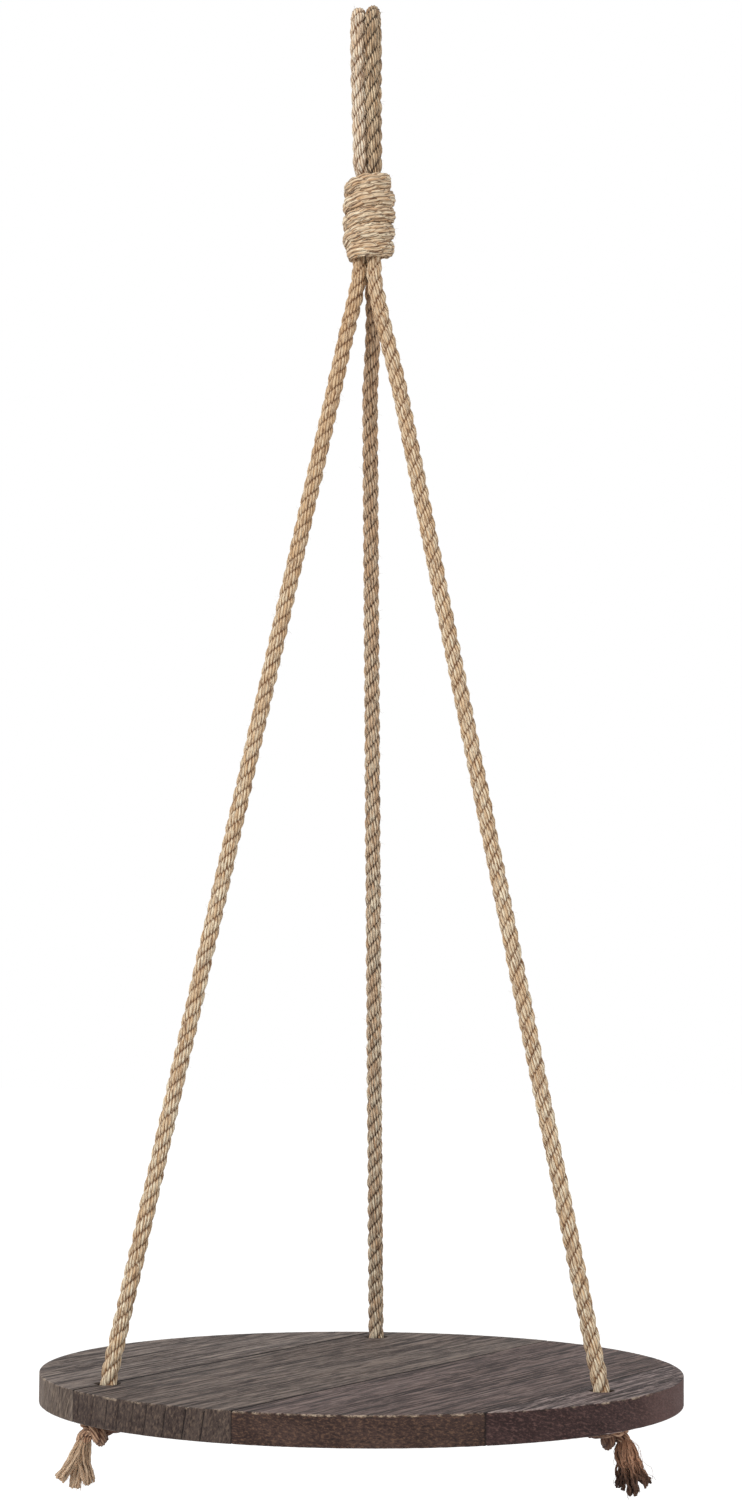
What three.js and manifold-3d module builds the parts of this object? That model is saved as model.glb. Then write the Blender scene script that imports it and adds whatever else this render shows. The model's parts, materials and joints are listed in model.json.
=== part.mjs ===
// Hanging rope shelf: a round board of edge-glued planks that hangs on three legs of laid jute rope.
// Millimetres, +Z up. The origin is the hook's seat, the underside of the left bight's crown.
// The left and right legs are one rope, which turns over the hook as one bight.
// The back leg is the second rope: it turns over the hook beside the first, and its end winds the wrap.

import * as THREE from 'three';
import { mergeVertices } from 'three/addons/utils/BufferGeometryUtils.js';
import Module from 'manifold-3d';

const wasm = await Module();
wasm.setup();

// Rope and fits
const ropeDiameter = 8;
const touchingGap = 0.3;
const cutOverrun = 20;

// Loop over the hook
const loopDrop = 71.5;
const crownBendRadius = 16;
const rightBightRise = 1.2;
const loopRopeWidth = 7.2;
const strandStraightEnd = 7;

// Wrap round the ropes
const wrapDiameter = 24.8;
const wrapTurns = 5;
const wrapPitch = 6.5;
const wrapRopeHeight = 6;
const wrapRopeDepth = 5.6;
const wrapEndDepth = 4;

// Legs
const legDrop = 530.5;
const gatherDrop = 12;
const legBendRadius = 50;

// Board
const boardDiameter = 300;
const boardThickness = 14;
const boardEdgeRound = 1;
const holeDiameter = 10.6;
const holeInset = 22.3;
const plankTurn = 63;
const glueLineShares = [-0.773, -0.153, 0.467];

// Stopper knots and frayed tails
const knotRopeDiameter = 5.2;
const knotEntryLength = 4;
const tailLength = 17;
const tailRootDiameter = 4;
const tailEndDiameter = 6.2;
const tailStrands = [
  { lengthShare: 0.84, reach: -0.8, stray: 2.4 },
  { lengthShare: 1, reach: 4.2, stray: -2.2 },
  { lengthShare: 0.72, reach: 8, stray: 1.4 },
];

// Faces per shape
const ropeSides = 10;
const legSteps = 44;
const strandSteps = 8;
const crownSteps = 14;
const stepsPerLoop = 24;
const loopSides = 6;
const knotSteps = 50;
const knotSides = 8;
const tailRings = 6;
const tailSides = 10;
const rimSegments = 96;
const holeSegments = 20;
const bundleSegments = 8;

// Places that follow from the sizes
const ropeRadius = ropeDiameter / 2;
const ropeSpacing = ropeDiameter + touchingGap;
const bightSide = (loopRopeWidth + touchingGap) / 2;
const strandSide = ropeSpacing / 2;
const wrapTop = -loopDrop;
const wrapBore = wrapDiameter / 2 - wrapRopeDepth;
const wrapRopeLine = wrapBore + wrapRopeDepth / 2;
const wrapEndFall = ropeDiameter * wrapPitch / (2 * Math.PI * wrapRopeLine);
const wrapLength = wrapTurns * wrapPitch + wrapRopeHeight + 2 * wrapEndFall;
const mouth = wrapTop - wrapLength;
const bundleRadius = wrapBore - touchingGap;
const swingPivot = mouth - gatherDrop;
const boardTop = mouth - legDrop;
const boardUnderside = boardTop - boardThickness;
const boardRadius = boardDiameter / 2;
const holeCircleRadius = boardRadius - holeInset;
const gatherRadius = ropeSpacing / Math.sqrt(3);
const legPlaces = [
  { name: 'left', turn: 210, knotTurn: -27 },
  { name: 'right', turn: 330, knotTurn: 22 },
  { name: 'back', turn: 90, knotTurn: 35 },
];
const degrees = Math.PI / 180;

// Solids for joining and cutting
function toSolid(geometry) {
  const bare = geometry.clone();
  bare.deleteAttribute('normal');
  bare.deleteAttribute('uv');
  const merged = mergeVertices(bare);
  const mesh = new wasm.Mesh({
    numProp: 3,
    vertProperties: new Float32Array(merged.attributes.position.array),
    triVerts: new Uint32Array(merged.index.array),
  });
  return new wasm.Manifold(mesh);
}

function toGeometry(solid) {
  const mesh = solid.getMesh();
  const geometry = new THREE.BufferGeometry();
  geometry.setAttribute('position', new THREE.BufferAttribute(mesh.vertProperties, 3));
  geometry.setIndex(new THREE.BufferAttribute(mesh.triVerts, 1));
  geometry.computeVertexNormals();
  return geometry;
}

// A closed skin over a row of rings, each a loop of as many points, with a fan over each end
function skinRings(rings) {
  const sides = rings[0].length;
  const corners = rings.flat();
  const ends = [rings[0], rings[rings.length - 1]];
  for (const ring of ends) {
    const middle = new THREE.Vector3();
    ring.forEach((corner) => middle.addScaledVector(corner, 1 / sides));
    corners.push(middle);
  }
  const [startMiddle, endMiddle] = [corners.length - 2, corners.length - 1];
  const lastRing = (rings.length - 1) * sides;
  const faces = [];
  for (let side = 0; side < sides; side++) {
    const next = (side + 1) % sides;
    for (let ring = 0; ring < rings.length - 1; ring++) {
      const here = ring * sides;
      const there = here + sides;
      faces.push(here + side, here + next, there + next);
      faces.push(here + side, there + next, there + side);
    }
    faces.push(startMiddle, next, side);
    faces.push(endMiddle, lastRing + side, lastRing + next);
  }
  const geometry = new THREE.BufferGeometry().setFromPoints(corners);
  geometry.setIndex(faces);
  geometry.computeVertexNormals();
  return geometry;
}

// One ring of a rope's section, an ellipse spanned by two directions
function sectionRing(centre, across, along, halfAcross, halfAlong, sides) {
  const ring = [];
  for (let side = 0; side < sides; side++) {
    const angle = 2 * Math.PI * side / sides;
    const corner = centre.clone();
    corner.addScaledVector(across, halfAcross * Math.cos(angle));
    corner.addScaledVector(along, halfAlong * Math.sin(angle));
    ring.push(corner);
  }
  return ring;
}

// An ellipse drawn with straight sides, as an outline or a hole
function roundOutline(outline, centreX, centreY, halfWidth, halfDepth, sides) {
  for (let side = 0; side < sides; side++) {
    const angle = 2 * Math.PI * side / sides;
    const x = centreX + halfWidth * Math.cos(angle);
    const y = centreY + halfDepth * Math.sin(angle);
    if (side === 0) outline.moveTo(x, y);
    else outline.lineTo(x, y);
  }
  outline.closePath();
  return outline;
}

// A rope along a curve, as an extruded section. Its width lies along X where the curve lies in a YZ plane.
function ropeAlong(curve, steps, width) {
  const section = roundOutline(new THREE.Shape(), 0, 0, width / 2, ropeRadius, ropeSides);
  return new THREE.ExtrudeGeometry(section, { extrudePath: curve, steps });
}

// Straight runs through the given points, with each corner rounded
function roundedRun(points, bendRadius) {
  const run = new THREE.CurvePath();
  let start = points[0];
  for (let index = 1; index < points.length - 1; index++) {
    const corner = points[index];
    const arriving = corner.clone().sub(points[index - 1]).normalize();
    const leaving = points[index + 1].clone().sub(corner).normalize();
    const setBack = bendRadius * Math.tan(arriving.angleTo(leaving) / 2);
    const bendStart = corner.clone().addScaledVector(arriving, -setBack);
    const bendEnd = corner.clone().addScaledVector(leaving, setBack);
    run.add(new THREE.LineCurve3(start, bendStart));
    run.add(new THREE.QuadraticBezierCurve3(bendStart, corner, bendEnd));
    start = bendEnd;
  }
  run.add(new THREE.LineCurve3(start, points[points.length - 1]));
  return run;
}

// Least clear distance of a rope from itself, between points more than a set length apart along it
function leastSelfGap(points, stepLength, skippedLength, thickness) {
  const skipped = Math.ceil(skippedLength / stepLength);
  let least = Infinity;
  for (let first = 0; first < points.length; first++) {
    for (let second = first + skipped; second < points.length; second++) {
      least = Math.min(least, points[first].distanceTo(points[second]));
    }
  }
  return least - thickness;
}

// Loop: each bight turns over the hook as a crown, and its two strands run down to the wrap
class CrownArc extends THREE.Curve {
  constructor(side, centreHeight, dip) {
    super();
    Object.assign(this, { side, centreHeight, dip });
  }

  getPoint(share, target = new THREE.Vector3()) {
    const angle = (Math.PI + 2 * this.dip) * share - this.dip;
    const y = crownBendRadius * Math.cos(angle);
    const z = this.centreHeight + crownBendRadius * Math.sin(angle);
    return target.set(this.side, y, z);
  }
}

function makeBight(side, rise) {
  const centreHeight = rise + ropeRadius - crownBendRadius;
  const strandTurn = wrapTop + strandStraightEnd;
  const drop = centreHeight - strandTurn;
  const reach = Math.hypot(strandSide, drop);
  const dip = Math.PI / 2 - Math.acos(crownBendRadius / reach) - Math.atan(strandSide / drop);
  const crown = ropeAlong(new CrownArc(side, centreHeight, dip), crownSteps, loopRopeWidth);
  const strands = [-1, 1].map((way) => {
    const leaving = new THREE.Vector3(0, -way * Math.sin(dip), -Math.cos(dip));
    const top = new THREE.Vector3(
      side,
      way * crownBendRadius * Math.cos(dip),
      centreHeight - crownBendRadius * Math.sin(dip),
    ).addScaledVector(leaving, touchingGap);
    const turn = new THREE.Vector3(side, way * strandSide, strandTurn);
    const foot = new THREE.Vector3(side, way * strandSide, wrapTop + touchingGap);
    return ropeAlong(roundedRun([top, turn, foot], crownBendRadius), strandSteps, loopRopeWidth);
  });
  return { crown, strands };
}

// Wrap: one rope wound round the gathered ropes, its ends straight for one rope diameter at the back.
// The first and last turns are pressed flatter, which gives the wrap its barrel shape.
const windLength = wrapTurns * 2 * Math.PI * wrapRopeLine;

function wrapPoint(travel) {
  const wound = THREE.MathUtils.clamp(travel, 0, windLength);
  const straight = travel - wound;
  const angle = Math.PI / 2 + wound / wrapRopeLine;
  const turnsFromEnd = Math.min(wound, windLength - wound) * wrapTurns / windLength;
  const fullness = THREE.MathUtils.smoothstep(turnsFromEnd, 0, 1);
  const depth = THREE.MathUtils.lerp(wrapEndDepth, wrapRopeDepth, fullness);
  const outward = new THREE.Vector3(Math.cos(angle), Math.sin(angle), 0);
  const onward = new THREE.Vector3(-Math.sin(angle), Math.cos(angle), 0);
  const centre = outward.clone().multiplyScalar(wrapBore + depth / 2);
  centre.addScaledVector(onward, straight);
  centre.z = mouth + wrapEndFall + wrapRopeHeight / 2 + wrapPitch * travel * wrapTurns / windLength;
  return { centre, outward, depth };
}

function makeWrap() {
  const windSteps = Math.round(wrapTurns * stepsPerLoop);
  const travels = [-ropeDiameter, -ropeDiameter / 2];
  for (let step = 0; step <= windSteps; step++) travels.push(windLength * step / windSteps);
  travels.push(windLength + ropeDiameter / 2, windLength + ropeDiameter);
  const up = new THREE.Vector3(0, 0, 1);
  const halfHeight = wrapRopeHeight / 2 / Math.cos(Math.PI / loopSides);
  const rings = travels.map((travel) => {
    const { centre, outward, depth } = wrapPoint(travel);
    return sectionRing(centre, outward.negate(), up, depth / 2, halfHeight, loopSides);
  });
  const fineStep = windLength / windSteps / loopSides;
  const line = [];
  for (let travel = -ropeDiameter; travel <= windLength + ropeDiameter; travel += fineStep) {
    line.push(wrapPoint(travel).centre);
  }
  const gap = leastSelfGap(line, fineStep, windLength / wrapTurns / 2, wrapRopeHeight);
  console.log(`wrap: least gap to itself ${gap.toFixed(2)} mm`);
  return skinRings(rings);
}

// The four strands inside the wrap, pressed into the quarters of a round bundle
function makeBundleStrand(turn) {
  const inset = touchingGap / 2;
  const rimAngle = Math.asin(inset / bundleRadius);
  const section = new THREE.Shape();
  section.moveTo(inset, inset);
  section.lineTo(bundleRadius * Math.cos(rimAngle), inset);
  section.absarc(0, 0, bundleRadius, rimAngle, Math.PI / 2 - rimAngle, false);
  section.closePath();
  const strand = new THREE.ExtrudeGeometry(section, {
    depth: wrapLength,
    bevelEnabled: false,
    curveSegments: bundleSegments,
  });
  return strand.rotateZ(turn * degrees).translate(0, 0, mouth);
}

// Leg: from its hole in the board to the wrap, its top rounded to roll under the wrap as the shelf sways
function makeLeg() {
  const foot = new THREE.Vector3(holeCircleRadius, 0, boardUnderside);
  const corner = new THREE.Vector3(holeCircleRadius, 0, boardTop);
  const gather = new THREE.Vector3(gatherRadius, 0, swingPivot);
  const top = new THREE.Vector3(gatherRadius, 0, mouth + cutOverrun);
  const run = roundedRun([foot, corner, gather, top], legBendRadius);
  const leg = toSolid(ropeAlong(run, legSteps, ropeDiameter));
  const block = new THREE.CylinderGeometry(boardRadius, boardRadius, boardRadius, ropeSides);
  block.rotateX(Math.PI / 2).translate(0, 0, swingPivot + boardRadius / 2);
  const ball = new THREE.SphereGeometry(gatherDrop - touchingGap, rimSegments / 2, rimSegments / 4);
  ball.rotateX(Math.PI / 2).translate(0, 0, swingPivot);
  return toGeometry(leg.subtract(toSolid(block).subtract(toSolid(ball))));
}

// Board: a round panel with three rope holes, sawn into its planks along the glue lines
function makePanel() {
  const holeRadius = holeDiameter / 2;
  const outline = roundOutline(new THREE.Shape(), 0, 0, boardRadius, boardRadius, rimSegments);
  for (const place of legPlaces) {
    const angle = place.turn * degrees;
    const [x, y] = [holeCircleRadius * Math.cos(angle), holeCircleRadius * Math.sin(angle)];
    outline.holes.push(roundOutline(new THREE.Path(), x, y, holeRadius, holeRadius, holeSegments));
  }
  const panel = new THREE.ExtrudeGeometry(outline, {
    depth: boardThickness - 2 * boardEdgeRound,
    bevelThickness: boardEdgeRound,
    bevelSize: boardEdgeRound,
    bevelOffset: -boardEdgeRound,
    bevelSegments: 2,
  });
  return toSolid(panel.translate(0, 0, boardUnderside + boardEdgeRound));
}

function makePlanks() {
  const panel = makePanel();
  const glueLines = glueLineShares.map((share) => share * boardRadius);
  const edges = [-boardRadius - cutOverrun, ...glueLines, boardRadius + cutOverrun];
  return edges.slice(1).map((edge, index) => {
    const width = edge - edges[index] - touchingGap;
    const slab = new THREE.BoxGeometry(2 * boardDiameter, width, 2 * boardThickness);
    slab.translate(0, (edge + edges[index]) / 2, boardUnderside + boardThickness / 2);
    return toGeometry(panel.intersect(toSolid(slab.rotateZ(plankTurn * degrees))));
  });
}

// Overhand knot: the rope comes down its hole, bends back up, turns once round itself, passes through
// its own bend and hangs down at the outer side.
// Places are in knot rope diameters: outward from the hole, sideways, and up from the board.
const knotRouteShares = [
  [0, 0, 0],
  [0, 0, -0.35],
  [0.16, 0, -0.8],
  [0.42, 0, -1.25],
  [0.55, 0.02, -1.7],
  [0.52, 0.25, -2.15],
  [0.45, 0.75, -2.45],
  [0.4, 1.35, -2.42],
  [0.42, 1.92, -2.1],
  [0.56, 2.24, -1.55],
  [0.86, 2.14, -0.98],
  [1.34, 1.7, -0.62],
  [1.64, 0.94, -0.54],
  [1.5, 0.08, -0.54],
  [1.08, -0.68, -0.54],
  [0.4, -1.08, -0.58],
  [-0.28, -1.1, -0.62],
  [-0.86, -0.7, -0.72],
  [-1.02, 0, -0.88],
  [-0.8, 0.68, -1.04],
  [-0.22, 1.06, -1.18],
  [0.45, 1.12, -1.32],
  [1.08, 1.1, -1.52],
  [1.58, 1.06, -1.86],
  [1.86, 1.04, -2.36],
  [1.94, 1.05, -2.8],
];

function knotRoute() {
  const points = knotRouteShares.map((place) => (
    new THREE.Vector3(...place).multiplyScalar(knotRopeDiameter)
  ));
  return new THREE.CatmullRomCurve3(points, false, 'centripetal');
}

function makeKnot() {
  const route = knotRoute();
  const length = route.getLength();
  const frames = route.computeFrenetFrames(knotSteps, false);
  const rings = [];
  for (let step = 0; step <= knotSteps; step++) {
    const share = step / knotSteps;
    const squeezed = Math.min(share * length / knotEntryLength, 1);
    const radius = THREE.MathUtils.lerp(ropeDiameter, knotRopeDiameter, squeezed) / 2;
    const [side, along] = [frames.normals[step], frames.binormals[step]];
    rings.push(sectionRing(route.getPointAt(share), side, along, radius, radius, knotSides));
  }
  const fineSteps = knotSteps * knotSides;
  const line = route.getSpacedPoints(fineSteps);
  const gap = leastSelfGap(line, length / fineSteps, 2 * knotRopeDiameter, knotRopeDiameter);
  console.log(`knot: least gap to itself ${gap.toFixed(2)} mm`);
  return skinRings(rings);
}

// Frayed tail: below the knot the rope opens into its three strands, which fan outward and thicken
function makeTail() {
  const route = knotRoute();
  const leaving = route.getTangentAt(1);
  const root = route.getPointAt(1).addScaledVector(leaving, touchingGap);
  const rootSide = new THREE.Vector3(-leaving.z, 0, leaving.x).normalize();
  const endSide = new THREE.Vector3(1, 0, 0);
  const sideways = new THREE.Vector3().crossVectors(rootSide, leaving).normalize();
  const rootSpread = (knotRopeDiameter - tailRootDiameter) / 2;
  const strands = tailStrands.map(({ lengthShare, reach, stray }, index) => {
    const turn = Math.PI * (1 - index / (tailStrands.length - 1));
    const start = root.clone().addScaledVector(rootSide, rootSpread * Math.cos(turn));
    const rings = [];
    for (let step = tailRings; step >= 0; step--) {
      const share = step / tailRings;
      const outward = rootSide.clone().lerp(endSide, share).normalize();
      const radius = THREE.MathUtils.lerp(tailRootDiameter, tailEndDiameter, share) / 2;
      const centre = start.clone();
      centre.x += reach * share;
      centre.y += stray * share;
      centre.z -= tailLength * lengthShare * share;
      rings.push(sectionRing(centre, outward, sideways, radius, radius, tailSides));
    }
    return toSolid(skinRings(rings));
  });
  return toGeometry(strands.reduce((tail, strand) => tail.add(strand)));
}

// Assembly
const rope = { color: 0xbfa27e, roughness: 0.95, metalness: 0 };
const frayedRope = { color: 0xc9ad88, roughness: 0.97, metalness: 0 };
const stainedWood = { color: 0x4b403d, roughness: 0.8, metalness: 0 };
const shelf = new THREE.Group();

function addPiece(name, geometry, finish, turn = 0, parent = shelf) {
  const piece = new THREE.Mesh(geometry, new THREE.MeshStandardMaterial(finish));
  piece.name = name;
  piece.rotation.z = turn * degrees;
  parent.add(piece);
  return piece;
}

const bights = [
  { name: 'left', side: -bightSide, rise: 0 },
  { name: 'right', side: bightSide, rise: rightBightRise },
];
for (const { name, side, rise } of bights) {
  const { crown, strands } = makeBight(side, rise);
  addPiece(`${name}_bight_crown`, crown, rope);
  addPiece(`${name}_front_strand`, strands[0], rope);
  addPiece(`${name}_back_strand`, strands[1], rope);
}

addPiece('wrap', makeWrap(), rope);
const bundlePlaces = { wrap_tail: 0, back_leg: 90, left_leg: 180, right_leg: 270 };
for (const [name, turn] of Object.entries(bundlePlaces)) {
  addPiece(`bundled_${name}`, makeBundleStrand(turn), rope);
}

const legGeometry = makeLeg();
const knotGeometry = makeKnot();
const tailGeometry = makeTail();
for (const { name, turn, knotTurn } of legPlaces) {
  addPiece(`${name}_leg`, legGeometry, rope, turn);
  const arm = new THREE.Group();
  arm.rotation.z = turn * degrees;
  const underHole = new THREE.Group();
  underHole.position.set(holeCircleRadius, 0, boardUnderside - touchingGap);
  underHole.rotation.z = knotTurn * degrees;
  addPiece(`${name}_stopper_knot`, knotGeometry, rope, 0, underHole);
  addPiece(`${name}_frayed_tail`, tailGeometry, frayedRope, 0, underHole);
  arm.add(underHole);
  shelf.add(arm);
}

makePlanks().forEach((plank, index) => addPiece(`board_plank_${index + 1}`, plank, stainedWood));

export default shelf;
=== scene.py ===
# %% [markdown]
# A hanging rope shelf, dressed around its finished construction model.
#
# The real shelf is a round board, glued up from four planks of stained softwood, and two lengths of
# laid jute rope. The ropes make a loop of two bights at the top, a wound gathering knot under it, and
# three legs. Each leg passes through a hole near the board's rim, is tied off under the board in a
# stopper knot, and ends in a frayed tail.
#
# The construction model already fixes every size, joint and mount. Here only the surfaces are made:
# ropes with their strands, yarns and stray hairs, and planks with their grain, worn edges and glue
# lines. The camera and the ropes come first, because the ropes are what moves.

# %% Load the construction model
import json
import math

import bmesh
import bpy
from mathutils import Matrix, Vector, noise


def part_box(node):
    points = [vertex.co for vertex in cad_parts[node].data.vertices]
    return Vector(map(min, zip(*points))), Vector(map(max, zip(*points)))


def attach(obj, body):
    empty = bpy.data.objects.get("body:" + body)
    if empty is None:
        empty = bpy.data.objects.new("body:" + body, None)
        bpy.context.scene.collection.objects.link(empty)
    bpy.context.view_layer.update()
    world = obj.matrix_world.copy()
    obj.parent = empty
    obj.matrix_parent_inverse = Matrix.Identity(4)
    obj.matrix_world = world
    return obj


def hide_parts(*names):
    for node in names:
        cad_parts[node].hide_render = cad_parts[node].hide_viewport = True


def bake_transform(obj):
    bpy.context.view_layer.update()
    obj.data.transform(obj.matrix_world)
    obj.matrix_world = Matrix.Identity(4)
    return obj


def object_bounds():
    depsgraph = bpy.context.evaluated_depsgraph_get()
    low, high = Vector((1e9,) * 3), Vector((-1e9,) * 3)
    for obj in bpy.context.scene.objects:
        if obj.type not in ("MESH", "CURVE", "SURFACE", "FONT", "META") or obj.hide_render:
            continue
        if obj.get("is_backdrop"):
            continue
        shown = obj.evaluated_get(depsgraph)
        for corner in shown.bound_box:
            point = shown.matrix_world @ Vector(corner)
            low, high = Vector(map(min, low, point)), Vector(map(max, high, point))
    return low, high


MM = 0.001
TURN = 2 * math.pi

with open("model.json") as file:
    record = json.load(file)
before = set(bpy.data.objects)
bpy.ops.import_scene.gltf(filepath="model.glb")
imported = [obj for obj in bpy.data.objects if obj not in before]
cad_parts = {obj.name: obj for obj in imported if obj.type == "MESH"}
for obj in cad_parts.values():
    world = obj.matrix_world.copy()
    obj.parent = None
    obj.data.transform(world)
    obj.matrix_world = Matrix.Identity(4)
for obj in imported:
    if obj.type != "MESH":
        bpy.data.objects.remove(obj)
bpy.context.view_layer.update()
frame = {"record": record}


# %% [markdown]
# The shelf is drawn from the hook down, so its heights are read from the model: the board's two faces
# are mounts, the joints sit where the ropes bend, and the wrap's mouth comes from its own box.

# %% Heights and driving sizes
mount_height = {mount["name"]: mount["pos_m"][2] for mount in frame["record"]["mounts"]}
joint_place = {joint["name"]: Vector(joint["pos_m"]) for joint in frame["record"]["behaviour"]["joints"]}

board_top = mount_height["board_top"]
board_underside = mount_height["board_underside"]
board_middle = (board_top + board_underside) / 2
board_radius = 150 * MM
wrap_top = joint_place["loop_twist"].z
mouth_inset = 0.3 * MM
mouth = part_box("wrap")[0].z + mouth_inset
gather_pivot = joint_place["side_sway"]

rope_radius = 3.8 * MM
rope_lay = 23 * MM
leg_turns = {"left": math.radians(210), "right": math.radians(330), "back": math.radians(90)}
print("board top at", round(board_top / MM, 1), "mm")
print("wrap from", round(mouth / MM, 1), "to", round(wrap_top / MM, 1), "mm")


# %% [markdown]
# The camera stands where the photograph was taken: a little right of the middle, 179 mm above the
# board and 1416 mm from the shelf's axis, looking slightly up. The distance, height and lens come from
# a perspective fit of the board's rims, the holes, the legs and the wrap.

# %% Camera
camera_distance = 1416 * MM
camera_rise = 179.37 * MM
camera_azimuth = 0.05669
camera_yaw = 0.0018
camera_pitch = 0.07841
camera_roll = 0.0063
lens_length = 71.655
sensor_width = 36
nearest_seen = 0.05
farthest_seen = 40


def put_in_scene(name, data):
    """A new object in the scene, at the origin."""
    thing = bpy.data.objects.new(name, data)
    bpy.context.scene.collection.objects.link(thing)
    return thing


def photograph_camera():
    """A camera at the photograph's place, with its small yaw, pitch and roll."""
    data = bpy.data.cameras.new("photograph_camera")
    data.lens = lens_length
    data.sensor_width = sensor_width
    data.clip_start = nearest_seen
    data.clip_end = farthest_seen
    camera = put_in_scene("photograph_camera", data)
    forward = Vector((
        math.sin(camera_yaw) * math.cos(camera_pitch),
        math.cos(camera_yaw) * math.cos(camera_pitch),
        math.sin(camera_pitch),
    ))
    right = Vector((math.cos(camera_yaw), -math.sin(camera_yaw), 0))
    up = right.cross(forward)
    rolled_right = math.cos(camera_roll) * right + math.sin(camera_roll) * up
    rolled_up = math.cos(camera_roll) * up - math.sin(camera_roll) * right
    axes = Matrix((rolled_right, rolled_up, -forward)).transposed()
    turned = Matrix.Rotation(camera_azimuth, 3, "Z") @ axes
    place = Vector((
        camera_distance * math.sin(camera_azimuth),
        -camera_distance * math.cos(camera_azimuth),
        board_top + camera_rise,
    ))
    camera.matrix_world = Matrix.Translation(place) @ turned.to_4x4()
    return camera


bpy.context.scene.camera = photograph_camera()
print("camera at", [round(side, 3) for side in bpy.context.scene.camera.location])


# %% [markdown]
# Finishes and rules are both written as sums of node outputs. One small class wraps an output, so that
# `1 - depth` or `turn * 3` adds the right Math or Vector Math node, and one method adds any other node.

# %% The wire class
def pick_socket(sockets, key):
    """A socket by its number, or the first one in use with that name."""
    if isinstance(key, int):
        return sockets[key]
    return next(socket for socket in sockets if socket.name == key and socket.enabled)


class Wire:
    """One output of a node tree. Sums and products of wires add their own nodes."""

    def __init__(self, tree, output=None):
        self.tree = tree
        self.output = output

    def __getitem__(self, name):
        return Wire(self.tree, pick_socket(self.output.node.outputs, name))

    def add(self, kind, settings=None, values=None):
        """Adds a node: its settings first, then the values or links of its sockets."""
        node = self.tree.nodes.new(kind)
        for name, value in (settings or {}).items():
            setattr(node, name, value)
        for name, value in (values or {}).items():
            socket = pick_socket(node.inputs, name)
            for item in value if isinstance(value, list) else [value]:
                if isinstance(item, Wire):
                    self.tree.links.new(item.output, socket)
                else:
                    socket.default_value = item
        used = [output for output in node.outputs if output.enabled]
        return Wire(self.tree, used[0]) if used else None

    def sum(self, operation, *sides):
        """A Math node, or a Vector Math node where a side is a vector."""
        vector = any(isinstance(side, Wire) and side.output.type == "VECTOR" for side in sides)
        if vector:
            sides = [(side,) * 3 if isinstance(side, (int, float)) else side for side in sides]
        kind = "ShaderNodeVectorMath" if vector else "ShaderNodeMath"
        return self.add(kind, {"operation": operation}, dict(enumerate(sides)))

    def __add__(self, other):
        return self.sum("ADD", self, other)

    def __radd__(self, other):
        return self.sum("ADD", other, self)

    def __sub__(self, other):
        return self.sum("SUBTRACT", self, other)

    def __rsub__(self, other):
        return self.sum("SUBTRACT", other, self)

    def __mul__(self, other):
        return self.sum("MULTIPLY", self, other)

    def __rmul__(self, other):
        return self.sum("MULTIPLY", other, self)

    def __truediv__(self, other):
        return self.sum("DIVIDE", self, other)

    def __rtruediv__(self, other):
        return self.sum("DIVIDE", other, self)

    def parts(self):
        """The X, Y and Z of a vector."""
        return self.add("ShaderNodeSeparateXYZ", {}, {"Vector": self})

    def ease(self, low, high, start=0.0, end=1.0):
        """A smooth step from start to end as this value goes from low to high."""
        values = {"Value": self, "From Min": low, "From Max": high, "To Min": start, "To Max": end}
        return self.add("ShaderNodeMapRange", {"interpolation_type": "SMOOTHSTEP"}, values)

    def grain(self, scale=1.0, detail=3.0, roughness=0.55, distortion=0.0):
        """Noise at this place, from 0 to 1."""
        values = {
            "Vector": self, "Scale": scale, "Detail": detail,
            "Roughness": roughness, "Distortion": distortion,
        }
        return self.add("ShaderNodeTexNoise", {}, values)


print("a wire can:", ", ".join(name for name, part in vars(Wire).items() if callable(part)))


# %% [markdown]
# Colours are noted as they look on a screen, from 0 to 255, because that is how they are compared with
# a photograph. Nodes work in linear light, so each colour is changed over once by the sRGB formula.

# %% Colours
def shade(red, green, blue):
    """A colour given as it looks on a screen, as the linear colour that nodes use."""
    parts = [part / 255 for part in (red, green, blue)]
    linear = [part / 12.92 if part <= 0.04045 else ((part + 0.055) / 1.055) ** 2.4 for part in parts]
    return (*linear, 1.0)


def mixed(factor, one, other):
    """A Mix node for two colours."""
    wire = next(side for side in (factor, one, other) if isinstance(side, Wire))
    return wire.add("ShaderNodeMix", {"data_type": "RGBA"}, {0: factor, 6: one, 7: other})


print("a middle grey of 128 in linear light:", [round(part, 3) for part in shade(128, 128, 128)])


# %% [markdown]
# A finish starts from an empty material and closes with one shader. What varies over the surface goes
# to colour, roughness and the bump; what is the same all over is set on the shader's own sockets.
# Patterns follow the object's own places, or facts that the mesh carries on its points.

# %% Starting and closing a finish
def new_finish(name):
    """An empty material and a wire to build it with."""
    material = bpy.data.materials.new(name)
    material.use_nodes = True
    material.node_tree.nodes.clear()
    return material, Wire(material.node_tree)


def object_place(wire):
    """The place on the object, in metres."""
    return wire.add("ShaderNodeTexCoord")["Object"]


def carried(wire, name, output="Fac"):
    """A fact that the mesh carries under a name."""
    return wire.add("ShaderNodeAttribute", {"attribute_name": name})[output]


def close_finish(material, colour, roughness, height, bump_depth, constants):
    """One shader with the colour, roughness and bump of a finish."""
    normal = height.add("ShaderNodeBump", {}, {"Height": height, "Distance": bump_depth, "Strength": 1.0})
    varying = {"Base Color": colour, "Roughness": roughness, "Normal": normal}
    shader = colour.add("ShaderNodeBsdfPrincipled", {}, {**varying, **constants})
    shader.add("ShaderNodeOutputMaterial", {}, {"Surface": shader})
    print(material.name, "has", len(material.node_tree.nodes), "nodes")
    return material
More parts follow.
